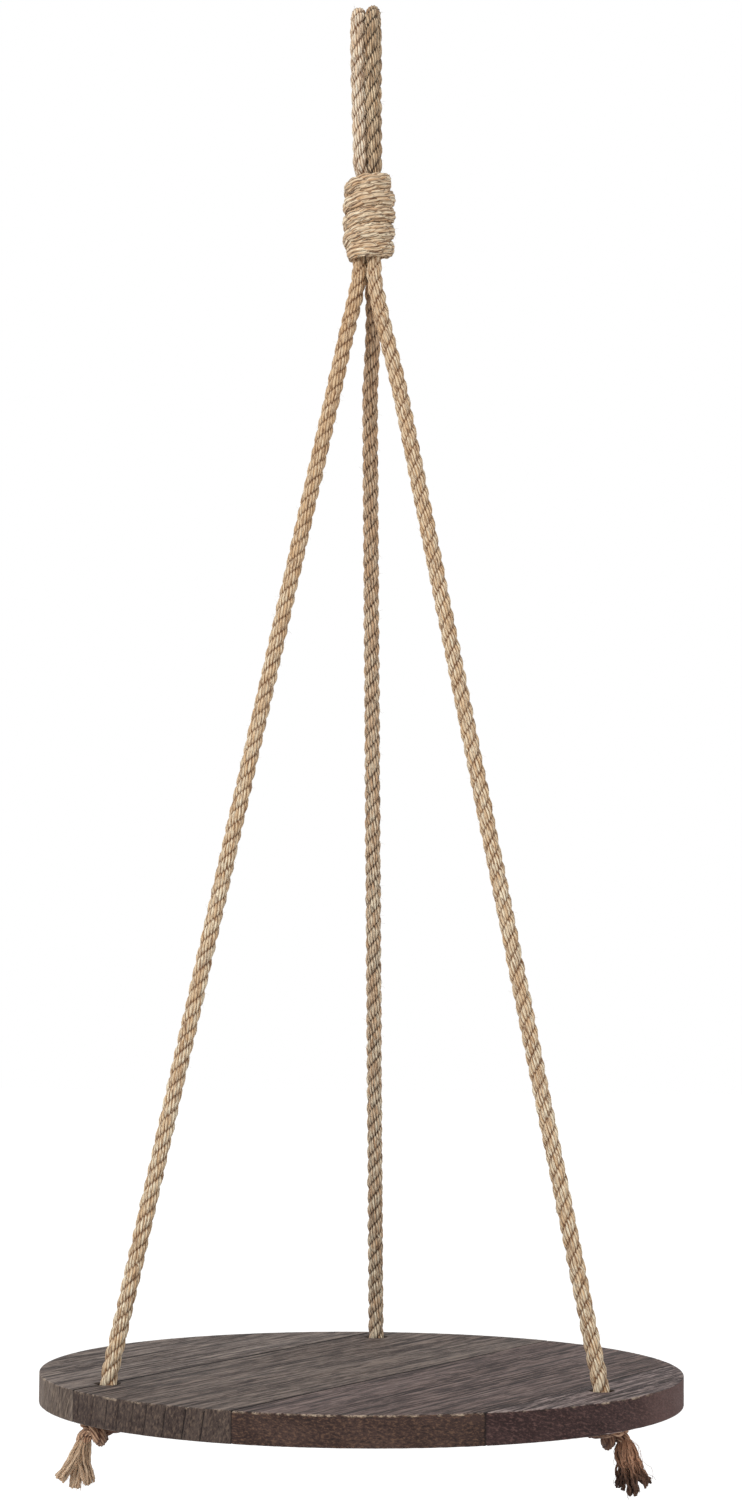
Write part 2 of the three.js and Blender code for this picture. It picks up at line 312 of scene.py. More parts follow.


# %% [markdown]
# Jute is a dry, straw-coloured bast fibre. Its yarns are spun loosely, so each shows fine pale and
# brown streaks along its length. The valleys between strands and yarns are darkened with painted shade,
# much darker than their crests. The streaks could be painted in an image, but a rope bends and turns, so
# the pattern reads places stored on the rope itself: round the strand, and along the rope.
#
# The legs get painted shade towards the gathering knot, and the stopper knots and tails towards the
# middle of the board, which shades them. One tail is brown at its tips.

# %% Jute finish
fibre_scale = (9.0, 9.0, 420.0)
yarn_scale = (3.4, 3.4, 170.0)
fleck_scale = (4.2, 4.2, 330.0)
blotch_scale = (0.5, 0.5, 30.0)
top_shade_heights = (-0.45, -0.12)
shaded_distances = (0.131, 0.139)
shaded_brown = shade(76, 47, 38)
tip_heights = (-0.682, -0.672)
tip_brown = shade(60, 38, 31)
jute_bump = 0.45 * MM
jute_constants = {"Sheen Weight": 0.1, "Sheen Roughness": 0.5, "Specular IOR Level": 0.2}


def jute_finish(name, straw, tan, deep, top_shade=0.0, shaded=0.0, tipped=0.0):
    """Laid jute: pale crests, tan flanks and deep brown valleys of painted shade, streaked along the yarn.

    It gets painted shade towards the top of the legs and towards the board's middle, and browner towards
    the ends of the tails, by the last three amounts in turn.
    """
    straw, tan, deep = shade(*straw), shade(*tan), shade(*deep)
    material, wire = new_finish(name)
    place = carried(wire, "yarn_place", "Vector")
    depth = carried(wire, "depth")
    groove = carried(wire, "groove")
    spot = object_place(wire).parts()
    fibres = (place * fibre_scale).grain(1.0, 3.0, 0.65)["Fac"]
    yarns = (place * yarn_scale).grain(1.0, 2.0, 0.6)["Fac"]
    flecks = (place * fleck_scale).grain(1.0, 2.0, 0.6, 0.8)["Fac"]
    blotches = (place * blotch_scale).grain(1.0, 2.0)["Fac"]
    pale = fibres.ease(0.4, 0.6) * 0.45 + yarns.ease(0.42, 0.58) * 0.55
    colour = mixed(pale, tan, straw)
    colour = mixed(blotches.ease(0.42, 0.7) * 0.5, colour, tan)
    # Painted shade towards the top of the legs, where they gather into the wrap.
    colour = mixed(spot["Z"].ease(*top_shade_heights, 0.0, top_shade), colour, tan)
    colour = mixed(flecks.ease(0.52, 0.63) * 0.85, colour, deep)
    # Painted shade: the grooves between yarns and the valleys between strands are darkened towards deep.
    colour = mixed(groove.ease(0.0, 0.62, 0.85, 0.0) * yarns.ease(0.3, 0.6, 1.0, 0.6), colour, deep)
    colour = mixed(depth.ease(0.05, 0.27) * 0.95, colour, deep)
    if shaded:
        from_axis = wire.sum("SQRT", spot["X"] * spot["X"] + spot["Y"] * spot["Y"])
        colour = mixed(from_axis.ease(*shaded_distances, shaded, 0.0), colour, shaded_brown)
    if tipped:
        colour = mixed(spot["Z"].ease(*tip_heights, tipped, 0.0), colour, tip_brown)
    roughness = fibres.ease(0.2, 0.8, 0.95, 0.75)
    return close_finish(material, colour, roughness, fibres + yarns * 0.8, jute_bump, jute_constants)


# The legs' finishes differ in how much painted shade they get towards the top.
rope_jute = jute_finish("laid_jute", (255, 246, 220), (216, 176, 130), (112, 70, 40), top_shade=0.3)
left_leg_jute = jute_finish("left_leg_jute", (255, 246, 220), (216, 176, 130), (112, 70, 40), top_shade=0.55)
# The back leg's finish is a darker copy: painted shade where the front legs hide it.
back_leg_jute = jute_finish("back_leg_jute", (255, 246, 220), (212, 168, 126), (70, 41, 24), top_shade=0.6)
loop_jute = jute_finish("loop_jute", (255, 248, 228), (240, 206, 168), (112, 72, 44))
# The right bight's finish is a darker copy: painted shade.
aged_jute = jute_finish("aged_jute", (255, 232, 196), (164, 122, 82), (40, 24, 14))
wound_jute = jute_finish("wound_jute", (255, 240, 210), (202, 160, 118), (80, 48, 28))
# The knots' finish is a darker copy, painted shade under the board, with more towards its middle.
knot_jute = jute_finish("knot_jute", (254, 216, 182), (194, 144, 110), (78, 46, 34), shaded=0.85)
loose_jute = jute_finish("loose_jute", (255, 236, 206), (232, 184, 142), (78, 48, 32), shaded=0.65)
# The right tail's finish is a darker copy: painted shade, and browner still at its tips.
shaded_tail_jute = jute_finish(
    "brown_loose_jute", (255, 202, 164), (182, 124, 92), (48, 28, 22), shaded=0.45, tipped=0.8)


# %% [markdown]
# A Geometry Nodes tree is a rule that grows one thing along a route or over a surface. Each rule
# below takes named sizes, ends in Realize Instances and Set Material, and is turned into a plain mesh
# at once, so that nothing live is left on the piece.

# %% Starting and closing a rule
NUMBER = "NodeSocketFloat"
COUNT = "NodeSocketInt"
FINISH = "NodeSocketMaterial"
SHAPE = "NodeSocketGeometry"


def new_rule(name, inputs):
    """An empty Geometry Nodes tree with named inputs, and a wire at its start."""
    tree = bpy.data.node_groups.new(name, "GeometryNodeTree")
    for label, kind in [("Geometry", SHAPE), *inputs]:
        tree.interface.new_socket(label, in_out="INPUT", socket_type=kind)
    tree.interface.new_socket("Geometry", in_out="OUTPUT", socket_type=SHAPE)
    return tree, Wire(tree, tree.nodes.new("NodeGroupInput").outputs[0])


def close_rule(rule, geometry, finish):
    """Ends a rule in plain, finished geometry."""
    geometry = geometry.add("GeometryNodeSetShadeSmooth", {}, {"Geometry": geometry})
    geometry = geometry.add("GeometryNodeRealizeInstances", {}, {"Geometry": geometry})
    geometry = geometry.add("GeometryNodeSetMaterial", {}, {"Geometry": geometry, "Material": finish})
    geometry.add("NodeGroupOutput", {}, {"Geometry": geometry})
    print("the rule", rule.name, "has", len(rule.nodes), "nodes")
    return rule


def stored(geometry, name, value, kind="FLOAT", domain="POINT"):
    """Keeps a value on the geometry under a name."""
    settings = {"data_type": kind, "domain": domain}
    values = {"Geometry": geometry, "Name": name, "Value": value}
    return geometry.add("GeometryNodeStoreNamedAttribute", settings, values)


def named(wire, name, kind="FLOAT"):
    """Reads a value that was kept under a name."""
    return wire.add("GeometryNodeInputNamedAttribute", {"data_type": kind}, {"Name": name})


def moved(geometry, offset):
    """Moves every point by an offset."""
    return geometry.add("GeometryNodeSetPosition", {}, {"Geometry": geometry, "Offset": offset})


print("kinds of input:", NUMBER, COUNT, FINISH, SHAPE)


# %% [markdown]
# The ropes and the frayed tails are both lines that are copied and swept into tubes. These helpers say
# that once: the even line, its copies, the two directions across it, a ring, the sweep, and a random
# lean.

# %% Lines, rings and sweeps
def even_line(ask):
    """The rule's route as a curve with evenly spaced points."""
    line = ask.add("GeometryNodeMeshToCurve", {}, {"Mesh": ask["Geometry"]})
    return ask.add("GeometryNodeResampleCurve", {"mode": "LENGTH"}, {"Curve": line, "Length": ask["Step"]})


def copied(line, count):
    """Copies of each line, all in the same place."""
    amount = {"Geometry": line, "Amount": count}
    return line.add("GeometryNodeDuplicateElements", {"domain": "SPLINE"}, amount)


def across_line(ask):
    """The two directions across a line: its normal, and the one square to it."""
    normal = ask.add("GeometryNodeInputNormal")
    return normal, ask.sum("CROSS_PRODUCT", ask.add("GeometryNodeInputTangent"), normal)


def ring(ask, corners, radius=1.0):
    """A circle to sweep along a line."""
    return ask.add("GeometryNodeCurvePrimitiveCircle", {}, {"Resolution": corners, "Radius": radius})


def swept(line, section, scale):
    """A closed tube: a section carried along a line and scaled on its way."""
    values = {"Curve": line, "Profile Curve": section, "Scale": scale, "Fill Caps": True}
    return line.add("GeometryNodeCurveToMesh", {}, values)


def random_lean(ask, **sockets):
    """A random vector with each side from -1 to 1."""
    values = {"Min": (-1.0, -1.0, -1.0), "Max": (1.0, 1.0, 1.0), **sockets}
    return ask.add("FunctionNodeRandomValue", {"data_type": "FLOAT_VECTOR"}, values)


# %% [markdown]
# A rule is only a modifier until it is run. Running it and keeping the plain mesh in its place is what
# the export needs, and the mesh can then be measured: its triangles, and the volume inside it, which
# is below zero if the faces point in.

# %% Growing a piece
WORKING_NAMES = ("heart", "travel", "strand", "round", "thick", "squash", "squash_axis", "stray")


def signed_volume(mesh):
    """The volume inside a mesh, below zero where its faces point in."""
    shape = bmesh.new()
    shape.from_mesh(mesh)
    volume = shape.calc_volume(signed=True)
    shape.free()
    return volume


def triangles_in(mesh):
    """How many triangles a mesh comes to."""
    return sum(len(face.vertices) - 2 for face in mesh.polygons)


def made_plain(piece):
    """Gives a piece the mesh that its modifiers make of it, and removes them."""
    graph = bpy.context.evaluated_depsgraph_get()
    result = bpy.data.meshes.new_from_object(
        piece.evaluated_get(graph), preserve_all_data_layers=True, depsgraph=graph)
    piece.modifiers.clear()
    piece.data = result
    return result


def grown(name, start_mesh, rule, sizes):
    """Runs a rule on a mesh and gives back an object with the plain result."""
    piece = put_in_scene(name, start_mesh)
    modifier = piece.modifiers.new("rule", "NODES")
    modifier.node_group = rule
    for item in rule.interface.items_tree:
        if item.in_out == "INPUT" and item.name in sizes:
            modifier[item.identifier] = sizes[item.name]
    result = made_plain(piece)
    result.name = name
    for label in WORKING_NAMES:
        if label in result.attributes:
            result.attributes.remove(result.attributes[label])
    volume = round(signed_volume(result) / MM ** 3)
    print(name, "has", triangles_in(result), "triangles and", volume, "cubic mm")
    return piece


print("dropped from each finished mesh:", ", ".join(WORKING_NAMES))


# %% [markdown]
# A route is a chain of points, in metres. Straight runs are joined by smooth bends, as rope takes a
# corner, and where a rope winds about, one smooth line is drawn through points chosen for it.

# %% Routes
def smooth(value, low, high):
    """Goes smoothly from 0 to 1 as the value goes from low to high."""
    share = min(max((value - low) / (high - low), 0.0), 1.0)
    return share * share * (3 - 2 * share)


def bent(start, corner, end, share):
    """A point on the smooth bend from start to end that a corner pulls on."""
    return start.lerp(corner, share).lerp(corner.lerp(end, share), share)


def rounded_route(corners, bend_radius, steps=12):
    """Straight runs joined by smooth bends."""
    route = [corners[0]]
    for before, corner, after in zip(corners, corners[1:], corners[2:]):
        into = (corner - before).normalized()
        out = (after - corner).normalized()
        setback = bend_radius * math.tan(into.angle(out) / 2)
        start = corner - into * setback
        end = corner + out * setback
        route += [bent(start, corner, end, step / steps) for step in range(steps + 1)]
    route.append(corners[-1])
    return route


def curved_route(points, steps=10):
    """A smooth line through every point: a centripetal Catmull-Rom curve."""
    ends = [points[0] * 2 - points[1], *points, points[-1] * 2 - points[-2]]
    route = []
    for first, start, end, last in zip(ends, ends[1:], ends[2:], ends[3:]):
        before = (start - first).length ** 0.5
        between = (end - start).length ** 0.5
        after = (last - end).length ** 0.5
        chord = (end - start) / between
        leave = ((start - first) / before - (end - first) / (before + between) + chord) * between
        arrive = (chord - (last - start) / (between + after) + (last - end) / after) * between
        for step in range(steps):
            share = step / steps
            square, cube = share ** 2, share ** 3
            point = start * (2 * cube - 3 * square + 1) + end * (3 * square - 2 * cube)
            route.append(point + leave * (cube - 2 * square + share) + arrive * (cube - square))
    route.append(points[-1])
    return route


def dense(route, step):
    """The same route with points no further apart than a step."""
    points = [route[0]]
    for start, end in zip(route, route[1:]):
        pieces = max(1, math.ceil((end - start).length / step))
        points += [start.lerp(end, piece / pieces) for piece in range(1, pieces + 1)]
    return points


def length_of(route):
    """The length along a route."""
    return sum((end - start).length for start, end in zip(route, route[1:]))


square_corner = [Vector((0, 0, 0)), Vector((0, 0, 1)), Vector((1, 0, 1))]
print("a corner 2 long is", round(length_of(rounded_route(square_corner, 0.2)), 3), "long when rounded")


# %% [markdown]
# A rule can't take a Python list, so a route is handed over as a mesh of bare edges. Its points carry
# three facts: how thick the rope is there, and how flat it is pressed along which direction.

# %% A route as a mesh
def route_mesh(name, routes, thick=None, squash=None, squash_axis=None):
    """A mesh of bare edges along one or more routes, with the rope's thickness and flatness on it."""
    points = [point for route in routes for point in route]
    edges = []
    first = 0
    for route in routes:
        edges += [(first + step, first + step + 1) for step in range(len(route) - 1)]
        first += len(route)
    mesh = bpy.data.meshes.new(name)
    mesh.from_pydata(points, edges, [])
    for label, fact in {"thick": thick, "squash": squash}.items():
        values = [fact(point) if fact else 1.0 for point in points]
        mesh.attributes.new(label, "FLOAT", "POINT").data.foreach_set("value", values)
    axes = [squash_axis(point) if squash_axis else Vector((0, 0, 1)) for point in points]
    flat = [part for axis in axes for part in axis]
    mesh.attributes.new("squash_axis", "FLOAT_VECTOR", "POINT").data.foreach_set("vector", flat)
    return mesh


# %% [markdown]
# Laid rope is three strands wound round each other like a right-handed screw, and every strand is a
# bundle of yarns wound the other way, so that on the rope's surface the yarns run nearly straight.
# A twisted profile swept along the route would make one star-shaped bar. Three separate strands, each
# swept along its own screw line with its own back-twist, give the real valleys and crossings.

# %% Strand lines and their section
STRANDS = 3
YARNS = 8
CORNERS_PER_YARN = 4
LOBE_SHARE = 0.085
STRAND_START_TURN = 1.7


def strand_lines(ask):
    """Three screw lines round the route, each twisted back as its yarns are."""
    line = stored(even_line(ask), "heart", ask.add("GeometryNodeInputPosition"), "FLOAT_VECTOR")
    line = stored(line, "travel", ask.add("GeometryNodeSplineParameter")["Length"])
    copies = copied(line, STRANDS)
    strands = stored(copies, "strand", copies["Duplicate Index"])
    travel = named(ask, "travel")
    number = named(ask, "strand")
    normal, sideways = across_line(ask)
    turn = (travel / ask["Lay length"] + number / STRANDS) * TURN
    orbit = ask["Rope radius"] * named(ask, "thick") * (1 - ask["Strand share"])
    outwards = normal * (ask.sum("COSINE", turn) * orbit) + sideways * (ask.sum("SINE", turn) * orbit)
    strands = moved(strands, outwards)
    back_twist = number * STRAND_START_TURN - travel / ask["Yarn lay"] * TURN
    return ask.add("GeometryNodeSetCurveTilt", {}, {"Curve": strands, "Tilt": back_twist})


def strand_section(ask):
    """A circle with a bulge for every yarn, which keeps its place round and its grooves."""
    section = ring(ask, YARNS * CORNERS_PER_YARN)
    corner = ask.add("GeometryNodeInputPosition")
    sides = corner.parts()
    lobe = ask.sum("COSINE", ask.sum("ARCTAN2", sides["Y"], sides["X"]) * YARNS)
    section = stored(section, "round", corner, "FLOAT_VECTOR")
    section = stored(section, "groove", lobe * 0.5 + 0.5)
    swell = {"Geometry": section, "Position": corner * (1 + lobe * LOBE_SHARE)}
    return ask.add("GeometryNodeSetPosition", {}, swell)


print("each strand is swept from", YARNS * CORNERS_PER_YARN, "corners")


# %% [markdown]
# Jute sheds: short hairs stand out all over the rope. Each is a tiny curved tube of about a dozen
# faces, scattered over the outer part of the strands, where every copy gets its own lean and length.

# %% Stray hairs
hair_bend = {"Start": (0, 0, 0), "Middle": (0.12, 0, 0.5), "End": (0.42, 0.05, 0.88), "Resolution": 4}
hair_corners = 3
hair_thickness = 0.02
hair_taper = 0.7
hair_lift = 0.5
hair_disorder = 0.75
hair_lengths = {"Min": 0.3, "Max": 1.25}
print("hairs are", hair_lengths["Min"], "to", hair_lengths["Max"], "times their named length")


def hair_template(ask):
    """One curved hair, one unit long, that thins to its tip."""
    line = ask.add("GeometryNodeCurveQuadraticBezier", {}, hair_bend)
    section = ring(ask, hair_corners, hair_thickness)
    return swept(line, section, 1.0 - ask.add("GeometryNodeSplineParameter")["Factor"] * hair_taper)


def scattered_hairs(ask, mesh, where):
    """Hairs on the chosen faces, leaning along the rope and outwards."""
    values = {"Mesh": mesh, "Selection": where, "Density": ask["Hairs"], "Seed": ask["Seed"]}
    points = ask.add("GeometryNodeDistributePointsOnFaces", {}, values)
    lean = points["Normal"] * hair_lift + random_lean(ask, Seed=ask["Seed"]) * hair_disorder
    turned = ask.add("FunctionNodeAlignRotationToVector", {"axis": "Z"}, {"Vector": lean})
    size = ask.add("FunctionNodeRandomValue", {}, {**hair_lengths, "Seed": ask["Seed"]})
    values = {
        "Points": points, "Instance": hair_template(ask),
        "Rotation": turned, "Scale": size * ask["Hair length"],
    }
    return ask.add("GeometryNodeInstanceOnPoints", {}, values)


# %% [markdown]
# The rule puts these together. It sweeps the strands a little unevenly, keeps on the surface how deep
# each point lies in the rope and where it is on its yarn, and then presses and lumps the whole rope.
# The finish reads the same facts, so the painted shade of the valleys lies exactly in the real ones.

# %% The laid rope rule
LUMP_SHARE = 0.2
lump_scale = (2.4, 2.4, 170.0)
uneven_apart = 7.3
uneven_scale = 70.0
thinnest_strand = 0.91
strand_swell = 0.18
strand_place_apart = 3.0
hairy_depth = 0.1
rope_sizes = {
    "Rope radius": rope_radius, "Strand share": 0.6, "Lay length": rope_lay, "Yarn lay": 21 * MM,
    "Step": 1.3 * MM, "Hairs": 60000.0, "Hair length": 2.2 * MM, "Seed": 1, "Finish": rope_jute,
}


def laid_rope_rule():
    """Three twisted strands of yarn along a route, with stray hairs."""
    rule, ask = new_rule("laid_rope", [
        ("Rope radius", NUMBER), ("Strand share", NUMBER), ("Lay length", NUMBER), ("Yarn lay", NUMBER),
        ("Step", NUMBER), ("Hairs", NUMBER), ("Hair length", NUMBER), ("Seed", COUNT), ("Finish", FINISH),
    ])
    strands = strand_lines(ask)
    travel = named(ask, "travel")
    number = named(ask, "strand")
    radius = ask["Rope radius"] * named(ask, "thick")
    spot = {"X": number * uneven_apart, "Y": travel * uneven_scale}
    uneven = ask.add("ShaderNodeCombineXYZ", {}, spot).grain(1.0, 2.0)["Fac"]
    thickness = radius * ask["Strand share"] * (thinnest_strand + uneven * strand_swell)
    mesh = swept(strands, strand_section(ask), thickness)

    arm = ask.add("GeometryNodeInputPosition") - named(ask, "heart", "FLOAT_VECTOR")
    # How deep each point lies, which the finish turns into painted shade.
    mesh = stored(mesh, "depth", 1 - ask.sum("LENGTH", arm) / radius)
    sides = named(ask, "round", "FLOAT_VECTOR").parts()
    place = {"X": sides["X"] + number * strand_place_apart, "Y": sides["Y"], "Z": travel}
    mesh = stored(mesh, "yarn_place", ask.add("ShaderNodeCombineXYZ", {}, place), "FLOAT_VECTOR")

    axis = named(ask, "squash_axis", "FLOAT_VECTOR")
    press = axis * (ask.sum("DOT_PRODUCT", arm, axis) * (named(ask, "squash") - 1.0))
    lumps = (named(ask, "yarn_place", "FLOAT_VECTOR") * lump_scale).grain(1.0, 2.0)["Fac"]
    mesh = moved(mesh, press + arm * ((lumps - 0.5) * LUMP_SHARE))

    sockets = {0: named(ask, "depth"), 1: hairy_depth}
    outer = ask.add("FunctionNodeCompare", {"operation": "LESS_THAN"}, sockets)
    hairs = scattered_hairs(ask, mesh, outer)
    both = ask.add("GeometryNodeJoinGeometry", {}, {"Geometry": [hairs, mesh]})
    return close_rule(rule, both, ask["Finish"])


laid_rope = laid_rope_rule()


# %% [markdown]
# Each leg runs up through its hole, leans in to the gathering point and goes straight up into the wrap.
# Under load the three press together there, and on the real shelf the right leg lies in front of the
# left one, so the bundle turns a little before it enters the wrap. A leg is a rope that is held taut.

# %% The legs' routes
hole_circle_radius = 127.7 * MM
gather_radius = 4.792 * MM
leg_bend_radius = 50 * MM
mouth_twist = math.radians(-22)
mouth_twist_height = 70 * MM
mouth_squeeze = 0.9
tucked_length = 8 * MM
route_step = 12 * MM
leg_grip_share = 0.06
leg_grip_length = 30 * MM
mouth_grip_share = 0.12
mouth_grip_length = 5 * MM


def leg_route(turn):
    """From the board's underside, up through its hole, to a little way inside the wrap."""
    corners = [
        Vector((hole_circle_radius, 0, board_underside)),
        Vector((hole_circle_radius, 0, board_top)),
        Vector((gather_radius, 0, gather_pivot.z)),
        Vector((gather_radius, 0, mouth + tucked_length)),
    ]
    route = []
    for point in dense(rounded_route(corners, leg_bend_radius), route_step):
        squeeze = smooth(point.z, mouth - mouth_twist_height, mouth)
        point.x *= 1 - (1 - mouth_squeeze) * squeeze
        route.append(Matrix.Rotation(turn + mouth_twist * squeeze, 3, "Z") @ point)
    return route


def leg_thickness(point):
    """The legs are pressed thinner where the wrap grips them."""
    near = smooth(point.z, mouth - leg_grip_length, mouth)
    inside = smooth(point.z, mouth, mouth + mouth_grip_length)
    return 1 - leg_grip_share * near - mouth_grip_share * inside


print("a leg's route has", len(leg_route(0.0)), "points")


# %% The three legs
# The back leg takes the darker copy: painted shade.
leg_finishes = {"left": left_leg_jute, "right": rope_jute, "back": back_leg_jute}
legs = {}
for order, (side, turn) in enumerate(leg_turns.items()):
    path = leg_route(turn)
    name = side + "_leg_rope"
    leg = grown(name, route_mesh(name, [path], leg_thickness), laid_rope, {
        **rope_sizes, "Seed": order + 1, "Finish": leg_finishes[side],
    })
    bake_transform(leg)
    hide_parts(side + "_leg")
    legs[side] = (leg, path)
    print(side, "leg is", round(length_of(path) / MM), "mm long")


# %% [markdown]
# The hanging loop is two bights side by side: one rope goes up, round the hook and down again, twice.
# Each bight is one piece here, from its crown down into the wrap.

# %% The bights' routes
bight_half_gap = 3.4 * MM
strand_half_gap = 4.15 * MM
foot_half_gap = 2.6 * MM
foot_middle_half_gap = 2.8 * MM
foot_rise = 3 * MM
crown_bend_radius = 16 * MM
crown_steps = 20
strand_straight_end = 7 * MM
loop_rope_seat = 4 * MM
bight_tuck = 9 * MM
bight_rises = {"left": 1.2 * MM, "right": 2 * MM}
loop_foot_shift = -0.9 * MM
foot_shift_start = 5 * MM
loop_lean = -1 * MM
loop_lean_top = -15 * MM
bight_grip_share = 0.2
bight_grip_above = 3 * MM
bight_grip_below = 4 * MM


def bight_route(x, rise):
    """Down in the wrap in front, up, over the crown, and down into the wrap behind."""
    centre_height = rise + loop_rope_seat - crown_bend_radius
    drop = centre_height - (wrap_top + strand_straight_end)
    reach = math.hypot(strand_half_gap, drop)
    dip = math.pi / 2 - math.acos(crown_bend_radius / reach) - math.atan(strand_half_gap / drop)
    inner_x = math.copysign(foot_half_gap, x)
    foot = [
        Vector((inner_x, -foot_half_gap, wrap_top - bight_tuck)),
        Vector((inner_x, -foot_middle_half_gap, wrap_top - bight_tuck / 2)),
        Vector((x, -strand_half_gap, wrap_top + foot_rise)),
        Vector((x, -strand_half_gap, wrap_top + strand_straight_end)),
    ]
    crown = []
    for step in range(crown_steps + 1):
        angle = math.pi + dip - (math.pi + 2 * dip) * step / crown_steps
        crown.append(Vector((
            x,
            crown_bend_radius * math.cos(angle),
            centre_height + crown_bend_radius * math.sin(angle),
        )))
    other_foot = [Vector((point.x, -point.y, point.z)) for point in reversed(foot)]
    points = dense([*foot[:3], *dense([foot[3], crown[0]], route_step)], route_step) + crown[1:]
    points += dense([crown[-1], other_foot[0]], route_step)[1:] + other_foot[1:]
    for point in points:
        point.x += loop_foot_shift * smooth(point.z, wrap_top - foot_shift_start, wrap_top + foot_rise)
        point.x += loop_lean * smooth(point.z, wrap_top, loop_lean_top)
    return curved_route(points, 4)


def bight_thickness(point):
    """The strands are pressed thinner inside the wrap."""
    gripped = smooth(-point.z, -wrap_top - bight_grip_above, -wrap_top + bight_grip_below)
    return 1 - bight_grip_share * gripped


print("a bight's route has", len(bight_route(bight_half_gap, 0.0)), "points")


# %% The loop's two bights
# The right bight takes the darker copy: painted shade.
bight_finishes = {"left": loop_jute, "right": aged_jute}
loop_rope_width = 6.8 * MM
flatness = loop_rope_width / (2 * rope_radius)
for order, (side, rise) in enumerate(bight_rises.items()):
    x = bight_half_gap if side == "right" else -bight_half_gap
    path = bight_route(x, rise)
    name = side + "_bight_rope"
    mesh = route_mesh(name, [path], bight_thickness, lambda point: flatness, lambda point: Vector((1, 0, 0)))
    bight = grown(name, mesh, laid_rope, {
        **rope_sizes, "Seed": 11 + order, "Finish": bight_finishes[side],
    })
    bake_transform(bight)
    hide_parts(side + "_bight_crown", side + "_front_strand", side + "_back_strand")
    print(side, "bight is", round(length_of(path) / MM), "mm long")


# %% [markdown]
# The gathering knot is a rope wound five times round the bundle of legs and strands, pulled so tight
# that its turns are pressed flat against each other. It is one rope on a screw line, flattened
# towards the bundle, and flatter in its first and last turns, which gives the knot its barrel shape.

# %% The wrap's winding
wrap_turns = 5
wrap_bore = 6.8 * MM
wrap_rope_height = 8.7 * MM
wrap_rope_depth = 6 * MM
wrap_end_depth = 3.6 * MM
wrap_level_turns = 0.55
wrap_tuck_turns = 0.22
wrap_tuck_share = 0.55
wrap_tuck_drop = 5
wrap_foot = mouth + 0.7 * MM
wrap_crest = wrap_top - 3.6 * MM
wrap_steps = 220


def wrap_fact(turns):
    """The rope's middle, and how deep the rope is, after a number of turns from the lower back."""
    wound = min(max(turns, 0.0), wrap_turns)
    from_end = min(wound, wrap_turns - wound)
    depth = wrap_end_depth + (wrap_rope_depth - wrap_end_depth) * smooth(from_end, 0, 1)
    tucked = smooth(abs(turns - wound), 0, wrap_tuck_turns)
    reach = (wrap_bore + depth / 2) * (1 - wrap_tuck_share * tucked)
    climbed = max(0.0, wound - wrap_level_turns) / (wrap_turns - wrap_level_turns)
    height = wrap_foot + (wrap_crest - wrap_foot) * climbed
    height += (1 if turns < 0 else -1) * tucked * wrap_tuck_drop * MM
    angle = math.pi / 2 + turns * TURN
    return Vector((reach * math.cos(angle), reach * math.sin(angle), height)), depth


wrap_facts = [
    wrap_fact(-wrap_tuck_turns + (wrap_turns + 2 * wrap_tuck_turns) * step / wrap_steps)
    for step in range(wrap_steps + 1)
]
winding = [point for point, depth in wrap_facts]
print("the wrap's rope is", round(length_of(winding) / MM), "mm long")


# %% The wrap
wrap_depths = {tuple(point): depth for point, depth in wrap_facts}
wrap_mesh = route_mesh(
    "wrap_rope", [winding],
    lambda point: wrap_rope_height / (2 * rope_radius),
    lambda point: wrap_depths[tuple(point)] / wrap_rope_height,
    lambda point: Vector((point.x, point.y, 0)).normalized())
wrap = grown("wrap_rope", wrap_mesh, laid_rope, {
    **rope_sizes, "Strand share": 0.74, "Lay length": 21 * MM, "Yarn lay": 34 * MM, "Step": 0.9 * MM,
    "Hairs": 52000.0, "Hair length": 2 * MM, "Seed": 21, "Finish": wound_jute,
})
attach(wrap, "wrap")
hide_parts("wrap")


# %% [markdown]
# Inside the wrap lie the ends of the legs and the end of the winding. They show only as a dark core
# between the strands, so short plain lengths of the same rope are enough.

# %% The bundled ropes inside the wrap
bundle_radius = 6.5 * MM
bundle_clearance = 1 * MM
bundle_step = 4 * MM
bundle_names = ("bundled_wrap_tail", "bundled_back_leg", "bundled_left_leg", "bundled_right_leg")
for order, node in enumerate(bundle_names):
    angle = TURN * (order + 0.5) / len(bundle_names)
    away = Vector((math.cos(angle), math.sin(angle), 0)) * bundle_radius / 2
    low = mouth + tucked_length + bundle_clearance
    high = wrap_top - bight_tuck - bundle_clearance
    path = dense([away + Vector((0, 0, low)), away + Vector((0, 0, high))], bundle_step)
    name = node + "_rope"
    core = grown(name, route_mesh(name, [path]), laid_rope, {
        **rope_sizes, "Rope radius": bundle_radius / 2, "Hairs": 0.0, "Seed": 31 + order,
    })
    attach(core, "wrap")
    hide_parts(node)


# %% [markdown]
# Under the board each leg is tied off. The rope comes down out of its hole, bends back up, turns once
# round itself, passes through its own bend and hangs down at the outer side. It is drawn tight, so it
# is thinner in the knot than in the leg. The same laid rope rule runs along the knot's route, which is
# a chain of points in rope diameters, listed one by one so that the rope clears itself.

